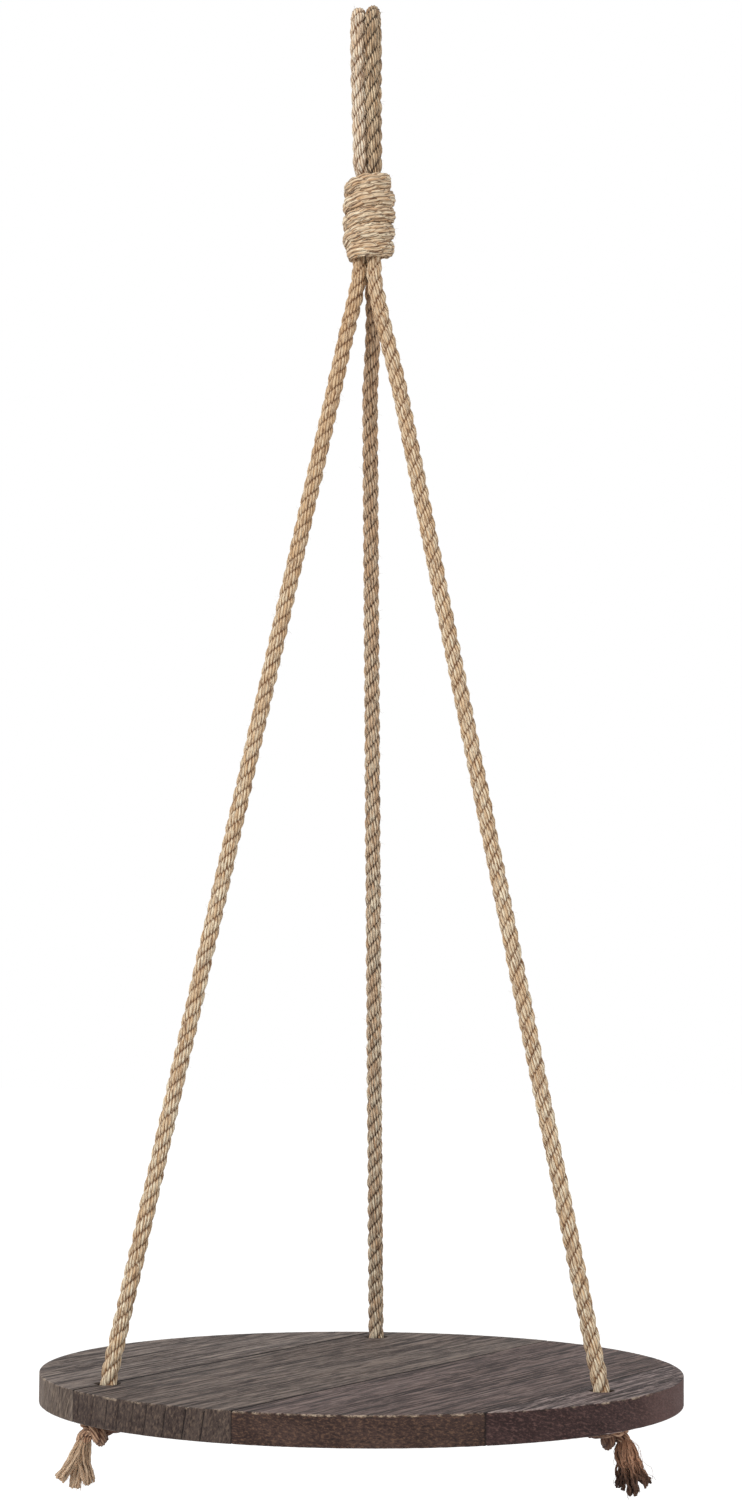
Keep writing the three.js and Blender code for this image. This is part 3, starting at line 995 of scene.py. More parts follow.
# %% The knot's route
knot_rope_radius = 3.3 * MM
knot_route_unit = 5.2 * MM
knot_press_share = 0.72
knot_start_height = 3 * MM
knot_entry_length = 4 * MM
knot_clearance = 0.3 * MM
knot_turns = {"left": math.radians(-27), "right": math.radians(22), "back": math.radians(35)}
knot_route_shares = [
    (0, 0, 0), (0, 0, -0.35), (0.16, 0, -0.8), (0.42, 0, -1.25), (0.55, 0.02, -1.7), (0.52, 0.25, -2.15),
    (0.45, 0.75, -2.45), (0.4, 1.35, -2.42), (0.42, 1.92, -2.1), (0.56, 2.24, -1.55), (0.86, 2.14, -0.98),
    (1.34, 1.7, -0.62), (1.64, 0.94, -0.54), (1.5, 0.08, -0.54), (1.08, -0.68, -0.54), (0.4, -1.08, -0.58),
    (-0.28, -1.1, -0.62), (-0.86, -0.7, -0.72), (-1.02, 0, -0.88), (-0.8, 0.68, -1.04), (-0.22, 1.06, -1.18),
    (0.45, 1.12, -1.32), (1.08, 1.1, -1.52), (1.58, 1.06, -1.86), (1.86, 1.04, -2.36), (1.94, 1.05, -2.8),
]


def knot_place(side):
    """The knot's own axes under its hole: x outwards and turned a little, z up."""
    turn = leg_turns[side]
    hole = Vector((
        hole_circle_radius * math.cos(turn),
        hole_circle_radius * math.sin(turn),
        board_underside - knot_clearance,
    ))
    return Matrix.Translation(hole) @ Matrix.Rotation(turn + knot_turns[side], 4, "Z")


def knot_route(side):
    """From inside the hole, through the knot, to where the tail leaves it."""
    place = knot_place(side)
    shares = [Vector((x, y, z * knot_press_share)) * knot_route_unit for x, y, z in knot_route_shares]
    return curved_route([place @ point for point in [Vector((0, 0, knot_start_height)), *shares]], 5)


def knot_thickness(point):
    """Full rope in the hole, drawn thinner within the first few millimetres of the knot."""
    full = rope_radius / knot_rope_radius
    return 1 + (full - 1) * smooth(point.z, board_underside - knot_entry_length, board_underside)


print("each knot takes", round(length_of(knot_route("left")) / MM), "mm of rope")


# %% The stopper knots
knot_ends = {}
for order, side in enumerate(leg_turns):
    path = knot_route(side)
    name = side + "_knot_rope"
    knot = grown(name, route_mesh(name, [path], knot_thickness), laid_rope, {
        **rope_sizes, "Rope radius": knot_rope_radius, "Lay length": 24 * MM, "Yarn lay": 22 * MM,
        "Step": 0.9 * MM, "Hairs": 50000.0, "Hair length": 2 * MM, "Seed": 41 + order, "Finish": knot_jute,
    })
    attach(knot, "shelf")
    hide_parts(side + "_stopper_knot")
    knot_ends[side] = (path[-1], (path[-1] - path[-2]).normalized())


# %% [markdown]
# Past the knot the rope is left to come apart. Its three strands open like a brush, each a clump of
# loose, wavy yarns of uneven length with finer hairs among them. Each strand is one line, and a rule
# copies it many times, moves every copy to its own place in the clump and lets it wander.

# %% Loose yarns
tail_wave_scale = 190.0
tail_wave_apart = 1.2
loose_from = (0.0, 0.5)
shortest_yarn = 0.92
loose_corners = 6
loose_place_apart = 9.0
loose_groove = 0.8
clump_core_shade = 0.29
clump_core_shade_fall = 0.22
print("the shortest yarns are", shortest_yarn, "of their strand's length")


def placed_yarns(ask, line, count, spread, wander, seed):
    """Copies of each strand's line, each at its own place in the clump and with its own waves."""
    copies = copied(line, count)
    number = ask.add("GeometryNodeInputIndex")
    random = random_lean(ask, ID=number, Seed=seed)
    yarns = stored(copies, "stray", random, "FLOAT_VECTOR", "CURVE")
    stray = named(ask, "stray", "FLOAT_VECTOR")
    sides = stray.parts()
    share = ask.add("GeometryNodeSplineParameter")["Factor"]
    normal, sideways = across_line(ask)
    width = named(ask, "thick") * ask["Rope radius"] * spread
    place = normal * (sides["X"] * width) + sideways * (sides["Y"] * width)
    here = ask.add("GeometryNodeInputPosition") * tail_wave_scale + stray * tail_wave_apart
    waves = here.grain(1.0, 3.0)["Color"]
    curl = ask.add("ShaderNodeVectorMath", {"operation": "SUBTRACT"}, {0: waves, 1: (0.5, 0.5, 0.5)})
    yarns = moved(yarns, place + curl * (share.ease(*loose_from) * wander))
    lengths = {"Min": shortest_yarn, "Max": 1.0, "ID": number, "Seed": seed + 1}
    cut = ask.add("FunctionNodeRandomValue", {}, lengths)
    return ask.add("GeometryNodeTrimCurve", {"mode": "FACTOR"}, {"Curve": yarns, "End": cut})


def loose_yarns(ask, line, count, radius, spread, wander, seed):
    """Many wandering copies of each strand's line, as thin tubes."""
    yarns = placed_yarns(ask, line, count, spread, wander, seed)
    corner = ask.add("GeometryNodeInputPosition")
    section = stored(ring(ask, loose_corners), "round", corner, "FLOAT_VECTOR")
    mesh = swept(yarns, section, radius)
    stray = named(ask, "stray", "FLOAT_VECTOR")
    around = named(ask, "round", "FLOAT_VECTOR").parts()
    apart = stray.parts()["X"] * loose_place_apart
    spot = {"X": around["X"] + apart, "Y": around["Y"], "Z": named(ask, "travel")}
    mesh = stored(mesh, "yarn_place", ask.add("ShaderNodeCombineXYZ", {}, spot), "FLOAT_VECTOR")
    # Painted shade: yarns in the middle of a clump are stored as deeper, so the finish darkens them.
    mesh = stored(mesh, "depth", clump_core_shade - ask.sum("LENGTH", stray) * clump_core_shade_fall)
    return stored(mesh, "groove", loose_groove)


# %% The frayed tail rule
yarn_count = 30
yarn_spread = 0.8
hair_count = 14
hair_spread = 1.0
hair_share = 0.15
hair_wander = 1.8
hair_seed_step = 7


def frayed_tail_rule():
    """A strand's line becomes a clump of loose yarns and hairs."""
    rule, ask = new_rule("frayed_tail", [
        ("Rope radius", NUMBER), ("Yarn radius", NUMBER), ("Step", NUMBER), ("Wander", NUMBER),
        ("Seed", COUNT), ("Finish", FINISH),
    ])
    line = stored(even_line(ask), "travel", ask.add("GeometryNodeSplineParameter")["Length"])
    yarns = loose_yarns(ask, line, yarn_count, ask["Yarn radius"], yarn_spread, ask["Wander"], ask["Seed"])
    hairs = loose_yarns(
        ask, line, hair_count, ask["Yarn radius"] * hair_share, hair_spread,
        ask["Wander"] * hair_wander, ask["Seed"] + hair_seed_step)
    both = ask.add("GeometryNodeJoinGeometry", {}, {"Geometry": [yarns, hairs]})
    return close_rule(rule, both, ask["Finish"])


frayed_tail = frayed_tail_rule()


# %% [markdown]
# Each tail's three locks leave the knot together and hang at different lengths. The right one has come
# apart the most, so it is fuller and wilder, and its tips are brown. A tail rides on the board.

# %% The tails' routes
tail_length = 17 * MM
tail_root_radius = 2.3 * MM
tail_neck_radii = {"left": 3.1 * MM, "right": 5.4 * MM, "back": 3.1 * MM}
tail_end_radius = 2.6 * MM
tail_swell_length = 4 * MM
tail_thins_from = 6 * MM
tail_strands = [(0.86, -3.2 * MM, 2.2 * MM), (1.0, 3.9 * MM, -2.4 * MM), (0.74, 10.2 * MM, 1.4 * MM)]
tail_bend_share = 0.35
tail_bend_aside = 0.3
tail_steps = 8
tail_tuck = 3 * MM


def tail_routes(side):
    """One line for each strand: it leaves with the rope, spreads, and hangs down."""
    end, leaving = knot_ends[side]
    axes = knot_place(side).to_3x3()
    root = end - leaving * tail_tuck
    pressed = (1 - knot_press_share) * knot_route_shares[-1][2] * knot_route_unit
    routes = []
    for length_share, reach, stray in tail_strands:
        tip = end + axes @ Vector((reach, stray, pressed - tail_length * length_share))
        bend = end + leaving * tail_length * tail_bend_share + axes @ Vector((0, stray * tail_bend_aside, 0))
        routes.append([bent(root, bend, tip, step / tail_steps) for step in range(tail_steps + 1)])
    return routes


def tail_thickness(side, root_height):
    """The clumps swell out of the knot and get a little thinner towards their tips."""
    neck = tail_neck_radii[side]

    def thickness(point):
        fallen = root_height - point.z
        swollen = tail_root_radius + (neck - tail_root_radius) * smooth(fallen, 0, tail_swell_length)
        thinned = (tail_end_radius - neck) * smooth(fallen, tail_thins_from, tail_length)
        return (swollen + thinned) / rope_radius

    return thickness


print("locks hang", [round(share * tail_length / MM, 1) for share, reach, stray in tail_strands], "mm down")


# %% The frayed tails
tail_wanders = {"left": 3.4 * MM, "right": 6 * MM, "back": 3.4 * MM}
# The right tail takes the darker copy: painted shade.
tail_finishes = {"left": loose_jute, "right": shaded_tail_jute, "back": loose_jute}
for order, side in enumerate(leg_turns):
    routes = tail_routes(side)
    name = side + "_tail_yarns"
    mesh = route_mesh(name, routes, tail_thickness(side, routes[0][0].z))
    tail = grown(name, mesh, frayed_tail, {
        "Rope radius": rope_radius, "Yarn radius": 0.56 * MM, "Step": 1.1 * MM, "Wander": tail_wanders[side],
        "Seed": 51 + order, "Finish": tail_finishes[side],
    })
    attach(tail, "shelf")
    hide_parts(side + "_frayed_tail")
    leg, path = legs[side]
    length_of(path)


# %% [markdown]
# The board is glued up from four planks whose grain runs at 63 degrees to the front. It is dark
# stained, brushed softwood: the soft early wood is worn away between the harder rings, which leaves
# dark hollows, pale streaks and soft bands along the grain. One finish makes all four planks, each
# with its own colours and its own place in the noise. The worn edge shows through pale, and the glue
# lines are nearly black.

# %% Stained wood finish
grain_turn = math.radians(63)
streak_scale = (60.0, 560.0, 300.0)
fine_scale = (130.0, 1200.0, 500.0)
line_scale = (11.0, 480.0, 300.0)
band_scale = (6.0, 110.0, 100.0)
patch_scale = (12.0, 22.0, 22.0)
dark_streak = shade(38, 29, 27)
dark_line = shade(34, 26, 25)
dark_hollow = shade(38, 30, 28)
dark_glue = shade(20, 15, 14)
wood_bump = 0.3 * MM


def wood_finish(name, shift, dark, middle, light, worn):
    """Open-grained stained wood: streaks, soft bands, dark hollows and worn pale edges."""
    dark, middle, light, worn = shade(*dark), shade(*middle), shade(*light), shade(*worn)
    material, wire = new_finish(name)
    values = {"Vector": object_place(wire), "Rotation": (0, 0, -grain_turn)}
    turned = wire.add("ShaderNodeMapping", {}, values) + shift
    wear = carried(wire, "wear")
    relief = carried(wire, "relief")
    seam = carried(wire, "seam")
    streaks = (turned * streak_scale).grain(1.0, 4.0, 0.66, 0.2)["Fac"]
    fine = (turned * fine_scale).grain(1.0, 3.0, 0.65)["Fac"]
    lines = (turned * line_scale).grain(1.0, 4.0, 0.6, 0.15)["Fac"]
    bands = (turned * band_scale).grain(1.0, 2.0)["Fac"]
    patches = (turned * patch_scale).grain(1.0, 2.0)["Fac"]
    colour = mixed(bands.ease(0.35, 0.65), dark, middle)
    colour = mixed(patches.ease(0.4, 0.7) * 0.4, colour, middle)
    colour = mixed(streaks.ease(0.5, 0.62) * 0.6, colour, light)
    colour = mixed(lines.ease(0.52, 0.62) * 0.5, colour, light)
    colour = mixed(fine.ease(0.52, 0.66) * 0.45, colour, light)
    colour = mixed(streaks.ease(0.38, 0.46, 0.75, 0.0), colour, dark_streak)
    colour = mixed(lines.ease(0.38, 0.46, 0.8, 0.0), colour, dark_line)
    colour = mixed(relief.ease(-0.9, -0.2, 0.6, 0.0), colour, dark_hollow)
    colour = mixed(wear * fine.ease(0.36, 0.56), colour, worn)
    colour = mixed(seam.ease(0.3, 0.8), colour, dark_glue)
    roughness = bands.ease(0.2, 0.8, 0.85, 0.7)
    constants = {"Specular IOR Level": 0.22}
    return close_finish(material, colour, roughness, streaks + fine * 0.5, wood_bump, constants)


top_woods = [
    # The first plank's dark and middle tones are partly its own stain and partly painted shadow.
    wood_finish(
        "stained_wood_1", (0.31, 0.07, 0.0),
        dark=(46, 36, 36), middle=(76, 62, 61), light=(172, 154, 149), worn=(178, 160, 142)),
    wood_finish(
        "stained_wood_2", (0.77, 0.19, 0.0),
        dark=(60, 48, 46), middle=(85, 69, 66), light=(138, 119, 112), worn=(186, 168, 148)),
    wood_finish(
        "stained_wood_3", (1.13, 0.43, 0.0),
        dark=(64, 53, 49), middle=(90, 78, 71), light=(144, 128, 118), worn=(170, 154, 136)),
    wood_finish(
        "stained_wood_4", (1.71, 0.59, 0.0),
        dark=(72, 61, 57), middle=(102, 90, 84), light=(156, 142, 132), worn=(176, 162, 146)),
]


# %% [markdown]
# The rim cuts the grain at every slant, so it shows end grain at the front left and long grain at the
# sides. Its pattern follows the length along the rim and the height, which the planks carry on their
# points. At the left the saw has left upright scores, thin dark lines that lean a little. Past one place
# the first plank's rim is painted paler towards its right end: painted light from the right.

# %% Saw scores
score_angles = [217.0, 221.5, 225.5, 228.5, 232.0, 235.0, 239.0, 243.0, 246.5]
score_strengths = [0.5, 0.55, 0.8, 0.65, 0.6, 0.75, 0.85, 1.0, 0.95]
score_half_width = 0.32 * MM
score_lean = 0.16
score_ragged_scale = (160.0, 420.0, 1.0)
score_raggedness = 0.9
print(len(score_angles), "saw scores, from", score_angles[0], "to", score_angles[-1], "degrees")


def rim_place_of(degrees):
    """The length along the rim at a direction from the board's middle, from the grain line."""
    return (math.radians(degrees) - grain_turn) * board_radius


def score_mask(wire, place):
    """Dark where one of the saw's scores crosses the rim."""
    parts = place.parts()
    ragged = (place * score_ragged_scale).grain(1.0, 2.0)["Fac"]
    along = parts["X"] - (parts["Y"] - board_middle) * score_lean + (ragged - 0.5) * score_raggedness * MM
    mask = None
    for degrees, strength in zip(score_angles, score_strengths):
        away = wire.sum("ABSOLUTE", along - rim_place_of(degrees))
        line = away.ease(score_half_width * 0.4, score_half_width * 1.5, strength, 0.0)
        mask = line if mask is None else wire.sum("MAXIMUM", mask, line)
    return mask


# %% Rim finish
rim_dark = shade(36, 27, 25)
score_dark = shade(24, 19, 18)
rim_worn = shade(172, 152, 130)
rim_glue = shade(22, 16, 15)
painted_light_fade = 45 * MM
painted_light_share = 0.4
rim_bump = 0.25 * MM


def rim_finish(
        name, shift, dark, middle, light, slant, long_scale, upright_scale, scored=False, painted_light_from=None):
    """The board's rim, where the grain meets the surface at a slant."""
    dark, middle, light = shade(*dark), shade(*middle), shade(*light)
    material, wire = new_finish(name)
    place = carried(wire, "rim_place", "Vector")
    wear = carried(wire, "wear")
    seam = carried(wire, "seam")
    turned = wire.add("ShaderNodeMapping", {}, {"Vector": place, "Rotation": (0, 0, math.radians(slant))})
    grained = turned + shift
    streaks = (grained * (long_scale, upright_scale, 1.0)).grain(1.0, 3.0, 0.6, 0.3)["Fac"]
    fine = (grained * (long_scale * 2.2, upright_scale * 1.8, 1.0)).grain(1.0, 2.0, 0.6)["Fac"]
    bands = (grained * (long_scale * 0.08, upright_scale * 0.1, 1.0)).grain(1.0, 2.0)["Fac"]
    colour = mixed(bands.ease(0.3, 0.7), dark, middle)
    colour = mixed(streaks.ease(0.5, 0.66) * 0.6, colour, light)
    colour = mixed(fine.ease(0.52, 0.7) * 0.45, colour, light)
    colour = mixed(streaks.ease(0.34, 0.46, 0.8, 0.0), colour, rim_dark)
    if scored:
        colour = mixed(score_mask(wire, place) * 0.9, colour, score_dark)
    # Painted light: the rim turns paler past one place along it.
    if painted_light_from:
        along = place.parts()["X"]
        colour = mixed(along.ease(painted_light_from, painted_light_from + painted_light_fade, 0.0, painted_light_share), colour, light)
    colour = mixed(wear * fine.ease(0.35, 0.6), colour, rim_worn)
    colour = mixed(seam.ease(0.55, 1.0, 0.0, 0.8), colour, rim_glue)
    roughness = bands.ease(0.2, 0.8, 0.88, 0.72)
    constants = {"Specular IOR Level": 0.2}
    return close_finish(material, colour, roughness, streaks + fine * 0.5, rim_bump, constants)


rim_woods = [
    rim_finish(
        "rim_wood_1", (0.2, 0.0, 0.0), (46, 31, 31), (63, 45, 44), (106, 80, 75),
        slant=14, long_scale=400.0, upright_scale=980.0, painted_light_from=-270 * MM),
    rim_finish(
        "rim_wood_2", (0.9, 0.0, 0.0), (50, 36, 33), (66, 49, 44), (110, 84, 67),
        slant=4, long_scale=480.0, upright_scale=980.0),
    rim_finish(
        "rim_wood_3", (1.4, 0.0, 0.0), (57, 46, 43), (77, 65, 59), (110, 93, 80),
        slant=8, long_scale=900.0, upright_scale=380.0, scored=True),
    rim_finish(
        "rim_wood_4", (2.1, 0.0, 0.0), (82, 70, 63), (106, 93, 85), (142, 126, 110),
        slant=-68, long_scale=180.0, upright_scale=760.0),
]


# %% [markdown]
# The inside of the rope holes can't be seen in the photograph. It is made as bare, dull, speckled wood,
# as a drill leaves it, and needs only one noise for all of that.

# %% Hole finish
speck_scale = (900.0, 900.0, 200.0)
speck_bump = 0.2 * MM


def hole_finish():
    """Bare, speckled wood for the inside of the holes."""
    material, wire = new_finish("bare_hole_wood")
    speck = (object_place(wire) * speck_scale).grain()["Fac"]
    colour = mixed(speck, shade(40, 32, 28), shade(78, 62, 50))
    return close_finish(material, colour, speck.ease(0.2, 0.8, 0.95, 0.8), speck, speck_bump, {})


hole_wood = hole_finish()


# %% [markdown]
# The ripple, the worn edge and the scores are real shape and not only bump. Each is a small formula of
# the place on the board: the ripple is a wave across the grain whose phase drifts along it, the wear
# is long soft stretches with chips among them, and a score is a narrow groove that leans.

# %% Ripple, wear and scores
ripple_pitch = 2.8 * MM
ripple_drift = 2.6
ripple_wobble = 1.2
ripple_strength = 0.6
ripple_change = 0.8
ripple_roughness = 0.7
long_wear_share = 1.1
chip_share = 1.3
wear_floor = 0.04
edge_round = 0.75 * MM
unworn_round = 0.75
worn_round = 0.45


def noise_at(*place):
    """Noise at a place, from about -1 to 1."""
    return noise.noise(Vector(place))


def ripple(along, across, seed):
    """How far the brushed surface lies above or below the plane, as a share from -1 to 1."""
    drift = noise_at(along * 9, across * 40, seed) * ripple_drift
    wobble = noise_at(along * 30, across * 120, seed) * ripple_wobble
    wave = math.sin(TURN * across / ripple_pitch + drift + wobble)
    rough = noise_at(along * 55, across * 900, seed + 5)
    strength = ripple_strength + ripple_change * noise_at(along * 12, across * 25, seed + 9)
    return min(max(wave * strength + rough * ripple_roughness, -1.0), 1.0)


def edge_wear(arc):
    """How worn the board's upper edge is at a place along the rim, from 0 to 1."""
    long_wear = noise_at(arc * 14, 3.1, 0.4)
    chips = noise_at(arc * 420, 7.7, 1.3)
    return min(max(long_wear * long_wear_share + chips * chip_share - wear_floor, 0.0), 1.0)


def edge_radius(wear):
    """How round the board's edge is: rounder where it is worn."""
    return edge_round * (unworn_round + worn_round * wear)


def score_cut(arc, height):
    """How deep a saw score is at a place on the rim, from 0 to 1."""
    lean = (height - board_middle) * score_lean
    deepest = 0.0
    for degrees, strength in zip(score_angles, score_strengths):
        away = abs(arc - rim_place_of(degrees) - lean)
        deepest = max(deepest, strength * (1 - smooth(away, score_half_width * 0.5, score_half_width * 2)))
    return deepest


print("the edge is rounded by", round(edge_radius(0) / MM, 2), "to", round(edge_radius(1) / MM, 2), "mm")


# %% [markdown]
# A plank is one closed skin, built row by row across the grain. A row is a ring of points: along the
# top, down the rim at one end, back along the underside, and up the rim at the other. So the ripple's
# ridges run along the rows of faces, and need no finer mesh than that.

# %% One row of a plank
ripple_depth = 0.12 * MM
ripple_fade = (0.5 * MM, 3 * MM)
wear_fade = (0.1 * MM, 0.65 * MM)
grain_columns = 52
rim_offsets = [0, 0.08 * MM, 0.22 * MM, 0.45 * MM, 0.75 * MM, 1.1 * MM, 1.8 * MM]
wall_shares = [0.02, 0.06, *[layer / 12 for layer in range(2, 12)]]
wall_gap = 0.05 * MM
pit_depth = 0.12
score_depth = 0.45 * MM
print("a row has", 2 * (2 * len(rim_offsets) + grain_columns - 1 + len(wall_shares)), "points")


def rim_arc(along, across, middle):
    """The length along the rim from the grain line, with no jump inside the plank that has this middle."""
    pole = math.copysign(math.pi / 2, middle)
    angle = math.atan2(across, along) - pole
    return (math.atan2(math.sin(angle), math.cos(angle)) + pole) * board_radius


def rim_reach(across, offset=0):
    """How far a row reaches along the grain, to an offset inside the rim."""
    return math.sqrt(max(0.0, (board_radius - offset) ** 2 - across ** 2))


def face_points(across, middle, seed, lift, drop_at_glue, up):
    """The points of a row on the top or the underside, each with its wear and relief."""
    inner = rim_reach(across, rim_offsets[-1])
    line = [-rim_reach(across, offset) for offset in rim_offsets]
    line += [inner * (2 * column / grain_columns - 1) for column in range(1, grain_columns)]
    line += [rim_reach(across, offset) for offset in reversed(rim_offsets)]
    points = []
    for along in line if up else reversed(line):
        wear = edge_wear(rim_arc(along, across, middle))
        radius = edge_radius(wear)
        inset = board_radius - math.hypot(along, across)
        short = max(0.0, radius - inset)
        drop = radius - math.sqrt(max(0.0, radius ** 2 - short ** 2)) + drop_at_glue
        if up:
            relief = ripple(along, across, seed)
            flat = smooth(inset, *ripple_fade)
            level = board_top - drop + lift + relief * ripple_depth * flat
            points.append((along, across, level, wear * (1 - smooth(inset, *wear_fade)), relief * flat))
        else:
            points.append((along, across, board_underside + drop, 0.0, 0.0))
    return points


def wall_points(across, middle, seed, side):
    """The points of a row down or up the rim, at the end where side is 1 or -1."""
    arc = rim_arc(rim_reach(across) * side, across, middle)
    radius = edge_radius(edge_wear(arc))
    high = board_top - radius - wall_gap
    low = board_underside + radius + wall_gap
    points = []
    for share in wall_shares if side > 0 else reversed(wall_shares):
        level = high + (low - high) * share
        pits = max(0.0, noise_at(arc * 400, level * 500, seed)) * pit_depth * MM
        kept = 1 - (score_cut(arc, level) * score_depth + pits) / board_radius
        points.append((rim_reach(across) * side * kept, across * kept, level, 0.0, 0.0))
    return points


def plank_section(across, middle, seed, lift, drop_at_glue):
    """One row of a plank: its points round the cut."""
    return [
        *face_points(across, middle, seed, lift, drop_at_glue, True),
        *wall_points(across, middle, seed, 1),
        *face_points(across, middle, seed, lift, drop_at_glue, False),
        *wall_points(across, middle, seed, -1),
    ]


# %% [markdown]
# The rows lie evenly along the rim, not across the board, so that the round edge has no flats. Extra
# rows lie close together at the glue lines, where the planks dip, and at the scores.

# %% Where the rows lie
glue_line_shares = [-0.773, -0.153, 0.467]
glue_lines = [-board_radius, *[share * board_radius for share in glue_line_shares], board_radius]
glue_row_offsets = (0.3 * MM, 0.6 * MM, 0.9 * MM, 1.4 * MM)
row_step = 0.75 * MM
score_rows = 9
score_row_widths = 3
score_row_margin = 2 * MM


def glued_sides(near, far):
    """The sides of a plank that are glued to another."""
    return [side for side in (near, far) if abs(side) < board_radius]


def score_row_places(near, far):
    """Extra rows across the grain, where the scores need them to be sharp."""
    places = []
    for degrees in score_angles:
        for step in range(score_rows):
            share = 2 * step / (score_rows - 1) - 1
            arc = rim_place_of(degrees) + share * score_row_widths * score_half_width
            places.append(board_radius * math.sin(arc / board_radius))
    return [place for place in places if near + score_row_margin < place < far - score_row_margin]


def plank_rows(near, far):
    """Where the rows of a plank lie across the grain."""
    first = math.acos(max(-1.0, min(1.0, -near / board_radius)))
    last = math.acos(max(-1.0, min(1.0, -far / board_radius)))
    steps = math.ceil((last - first) * board_radius / row_step)
    rows = [-board_radius * math.cos(first + (last - first) * step / steps) for step in range(steps + 1)]
    for side in glued_sides(near, far):
        inwards = 1 if side == near else -1
        rows += [side + inwards * offset for offset in glue_row_offsets]
    return sorted(rows + score_row_places(near, far))


print("rows in each plank:", [len(plank_rows(near, far)) for near, far in zip(glue_lines, glue_lines[1:])])


# %% [markdown]
# Rows become a skin when each is bridged to the next. Where a plank ends in a point its last row has
# no width, so its points are merged, and after that the faces are turned to point outwards. Steep
# faces near the edge get the rim's finish.

# %% One plank
grain_along = Vector((math.cos(grain_turn), math.sin(grain_turn), 0))
grain_across = Vector((-math.sin(grain_turn), math.cos(grain_turn), 0))
glue_groove = 0.45 * MM
seam_width = 1.3 * MM
weld_distance = 0.0002 * MM
rim_steepness = 0.45
rim_band = 2 * MM
print("grain runs along", [round(side, 3) for side in grain_along])


def bridge(shape, ring, other):
    """A band of faces between two closed rows of points."""
    for place in range(len(ring)):
        after = (place + 1) % len(ring)
        shape.faces.new((ring[place], ring[after], other[after], other[place]))


def piece_from(name, shape, finishes):
    """An object with a finished shape and its finishes."""
    mesh = bpy.data.meshes.new(name)
    shape.to_mesh(mesh)
    shape.free()
    for finish in finishes:
        mesh.materials.append(finish)
    return put_in_scene(name, mesh)


def plank_piece(name, near, far, seed, lift, woods):
    """One plank between two glue lines, as a closed skin."""
    glued = glued_sides(near, far)
    middle = (near + far) / 2
    shape = bmesh.new()
    wear_layer = shape.verts.layers.float.new("wear")
    relief_layer = shape.verts.layers.float.new("relief")
    seam_layer = shape.verts.layers.float.new("seam")
    place_layer = shape.verts.layers.float_vector.new("rim_place")
    grid = []
    for across in plank_rows(near, far):
        distance = min([abs(across - side) for side in glued] + [1.0])
        drop_at_glue = max(0.0, 1 - distance / glue_groove) * glue_groove
        row = []
        for along, aside, level, worn, relief in plank_section(across, middle, seed, lift, drop_at_glue):
            vertex = shape.verts.new(grain_along * along + grain_across * aside + Vector((0, 0, level)))
            vertex[wear_layer] = worn
            vertex[relief_layer] = relief
            vertex[seam_layer] = max(0.0, 1 - distance / seam_width)
            vertex[place_layer] = Vector((rim_arc(along, aside, middle), level, 0))
            row.append(vertex)
        grid.append(row)
    for row, other in zip(grid, grid[1:]):
        bridge(shape, row, other)
    for row, side in ((grid[0], near), (grid[-1], far)):
        if side in glued:
            shape.faces.new(row)
    bmesh.ops.remove_doubles(shape, verts=shape.verts, dist=weld_distance)
    bmesh.ops.recalc_face_normals(shape, faces=shape.faces)
    for face in shape.faces:
        centre = face.calc_center_median()
        steep = abs(face.normal.z) < rim_steepness
        on_rim = steep and math.hypot(centre.x, centre.y) > board_radius - rim_band
        face.material_index = 1 if on_rim else 0
        face.smooth = True
    return piece_from(name, shape, woods)


# %% [markdown]
# The rope holes are drilled through the finished planks. A Boolean modifier with a peg does that, and
# the peg is tapered at both faces, so the holes get eased edges, as a countersink gives them.

# %% The pegs that cut the holes
hole_radius = 5.3 * MM
hole_ease = 0.7 * MM
hole_overrun = 2 * MM
hole_sides = 40


def hole_cutter(turn):
    """A tapered peg that cuts one rope hole, with eased edges."""
    wide = hole_radius + hole_ease
    profile = [
        (wide + hole_overrun, board_underside - hole_overrun), (wide, board_underside),
        (hole_radius, board_underside + hole_ease), (hole_radius, board_top - hole_ease),
        (wide, board_top), (wide + hole_overrun, board_top + hole_overrun),
    ]
    centre = Vector((math.cos(turn), math.sin(turn), 0)) * hole_circle_radius
    angles = [TURN * step / hole_sides for step in range(hole_sides)]
    shape = bmesh.new()
    rows = [
        [
            shape.verts.new(centre + Vector((radius * math.cos(angle), radius * math.sin(angle), level)))
            for angle in angles
        ]
        for radius, level in profile
    ]
    for row, other in zip(rows, rows[1:]):
        bridge(shape, row, other)
    shape.faces.new(rows[0])
    shape.faces.new(rows[-1])
    bmesh.ops.recalc_face_normals(shape, faces=shape.faces)
    return piece_from("hole_cutter", shape, [hole_wood])


cutters = [hole_cutter(turn) for turn in leg_turns.values()]
print(len(cutters), "holes,", round(2 * hole_radius / MM, 1), "mm wide")


# %% The four planks
plank_heights = [-0.06 * MM, 0.0, 0.08 * MM, 0.14 * MM]
seed_step = 13.7
first_seed = 2.0
for order, (near, far) in enumerate(zip(glue_lines, glue_lines[1:])):
    node = "board_plank_" + str(order + 1)
    woods = [top_woods[order], rim_woods[order], hole_wood]
    seed = order * seed_step + first_seed
    plank = plank_piece(node + "_wood", near, far, seed, plank_heights[order], woods)
    for cutter in cutters:
        drill = plank.modifiers.new("hole", "BOOLEAN")
        drill.operation = "DIFFERENCE"
        drill.solver = "MANIFOLD"
        drill.object = cutter
    drilled = made_plain(plank)
    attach(plank, "shelf")
    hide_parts(node)
    volume = round(signed_volume(drilled) / MM ** 3 / 1000)
    print(plank.name, "has", triangles_in(drilled), "triangles and", volume, "cubic cm")
for cutter in cutters:
    bpy.data.objects.remove(cutter)


# %% [markdown]
# The object hangs in plain white: a pale floor under it, and a white world that only the camera and
# reflections see as white. For the rays that carry light the floor doesn't glow and the world is about
# half as bright, so that the whiteness doesn't wash the object out.

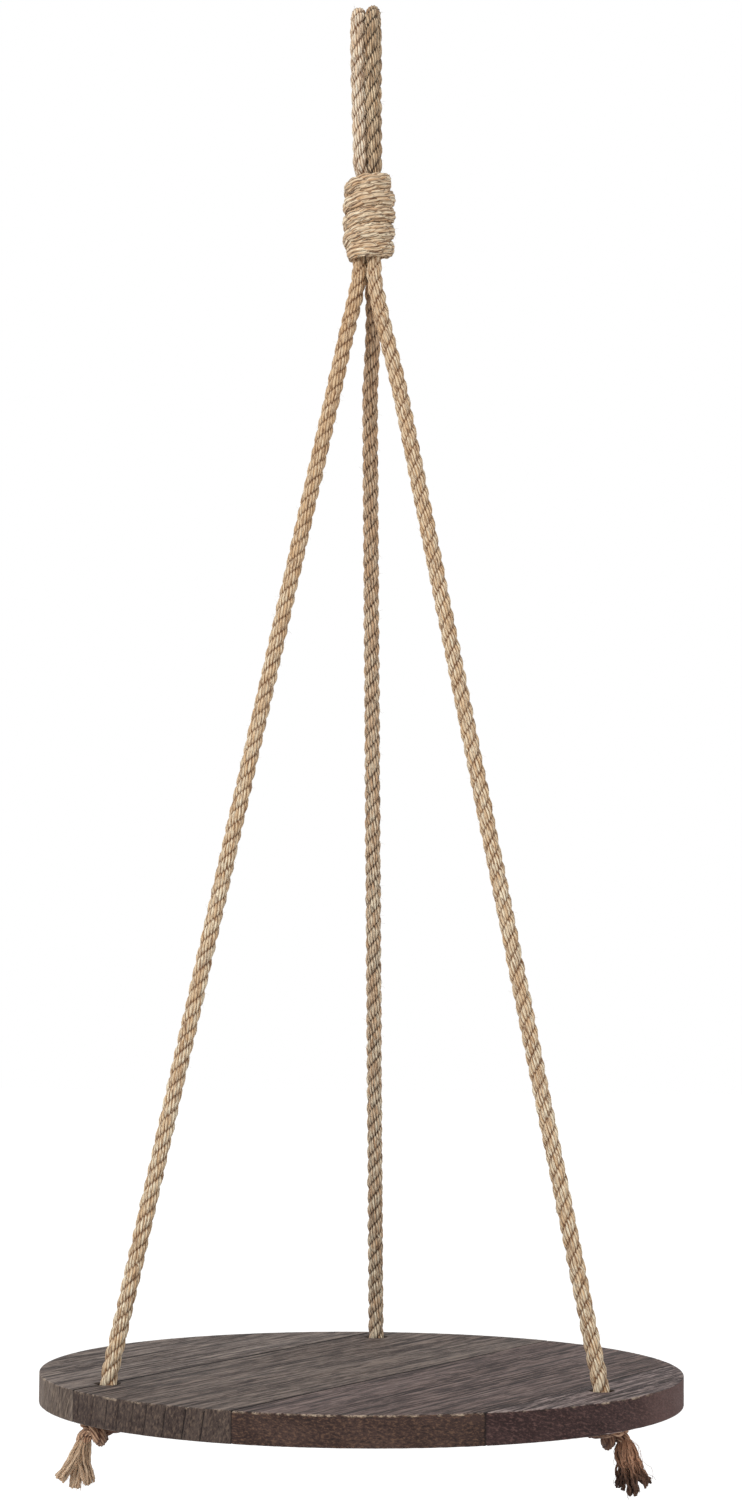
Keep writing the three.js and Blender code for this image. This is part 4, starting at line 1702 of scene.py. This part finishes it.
# %% Floor and world
floor_height = -1.05
floor_size = 30
floor_glow = 0.62
world_light = 0.55
white = (1, 1, 1, 1)


def is_seen(wire):
    """1 for rays from the camera, reflections and glass, and 0 for the rays that carry light."""
    path = wire.add("ShaderNodeLightPath")
    seen = wire.sum("MAXIMUM", path["Is Camera Ray"], path["Is Glossy Ray"])
    return wire.sum("MAXIMUM", seen, path["Is Transmission Ray"])


floor_mesh = bpy.data.meshes.new("floor")
half = floor_size / 2
corners = [
    (-half, -half, floor_height), (half, -half, floor_height),
    (half, half, floor_height), (-half, half, floor_height),
]
floor_mesh.from_pydata(corners, [], [(0, 1, 2, 3)])
floor = put_in_scene("floor", floor_mesh)
floor_paint, wire = new_finish("floor_paint")
paint = wire.add("ShaderNodeBsdfDiffuse", {}, {"Color": shade(236, 236, 236)})
glow = wire.add("ShaderNodeEmission", {}, {"Color": white, "Strength": floor_glow})
both = wire.add("ShaderNodeAddShader", {}, {0: paint, 1: glow})
pick = wire.add("ShaderNodeMixShader", {}, {0: is_seen(wire), 1: paint, 2: both})
wire.add("ShaderNodeOutputMaterial", {}, {"Surface": pick})
floor_mesh.materials.append(floor_paint)
floor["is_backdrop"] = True

world = bpy.data.worlds.new("white_room")
bpy.context.scene.world = world
world.use_nodes = True
world.node_tree.nodes.clear()
wire = Wire(world.node_tree)
strength = is_seen(wire).ease(0.0, 1.0, world_light, 1.0)
sky = wire.add("ShaderNodeBackground", {}, {"Color": white, "Strength": strength})
wire.add("ShaderNodeOutputWorld", {}, {"Surface": sky})
print("floor at", round(floor_height / MM), "mm, world light", world_light)


# %% [markdown]
# Two soft lamps light the shelf at a plain level: the key from the upper left, and a weaker fill from
# the right. Both are large, so that the ropes throw only soft shadows.

# %% Lamps
aim = (0, 0, -0.4)


def soft_lamp(name, place, size, power):
    """A square soft box that faces the middle of the shelf."""
    data = bpy.data.lights.new(name, "AREA")
    data.size = size
    data.energy = power
    lamp = put_in_scene(name, data)
    lamp.location = place
    lamp.rotation_euler = (Vector(aim) - Vector(place)).to_track_quat("-Z", "Y").to_euler()
    print(name, "gives", power, "watts")


soft_lamp("key_lamp", (-1.3, -1.6, 0.7), 1.0, 30)
soft_lamp("fill_lamp", (1.6, -1.2, 0.1), 1.4, 10)
bpy.context.scene.view_settings.view_transform = "Standard"


# %% [markdown]
# Last, the box of what was made is measured and printed.

# %% Measure the box
low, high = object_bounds()
print("visual box in mm:", [round(side / MM) for side in high - low])
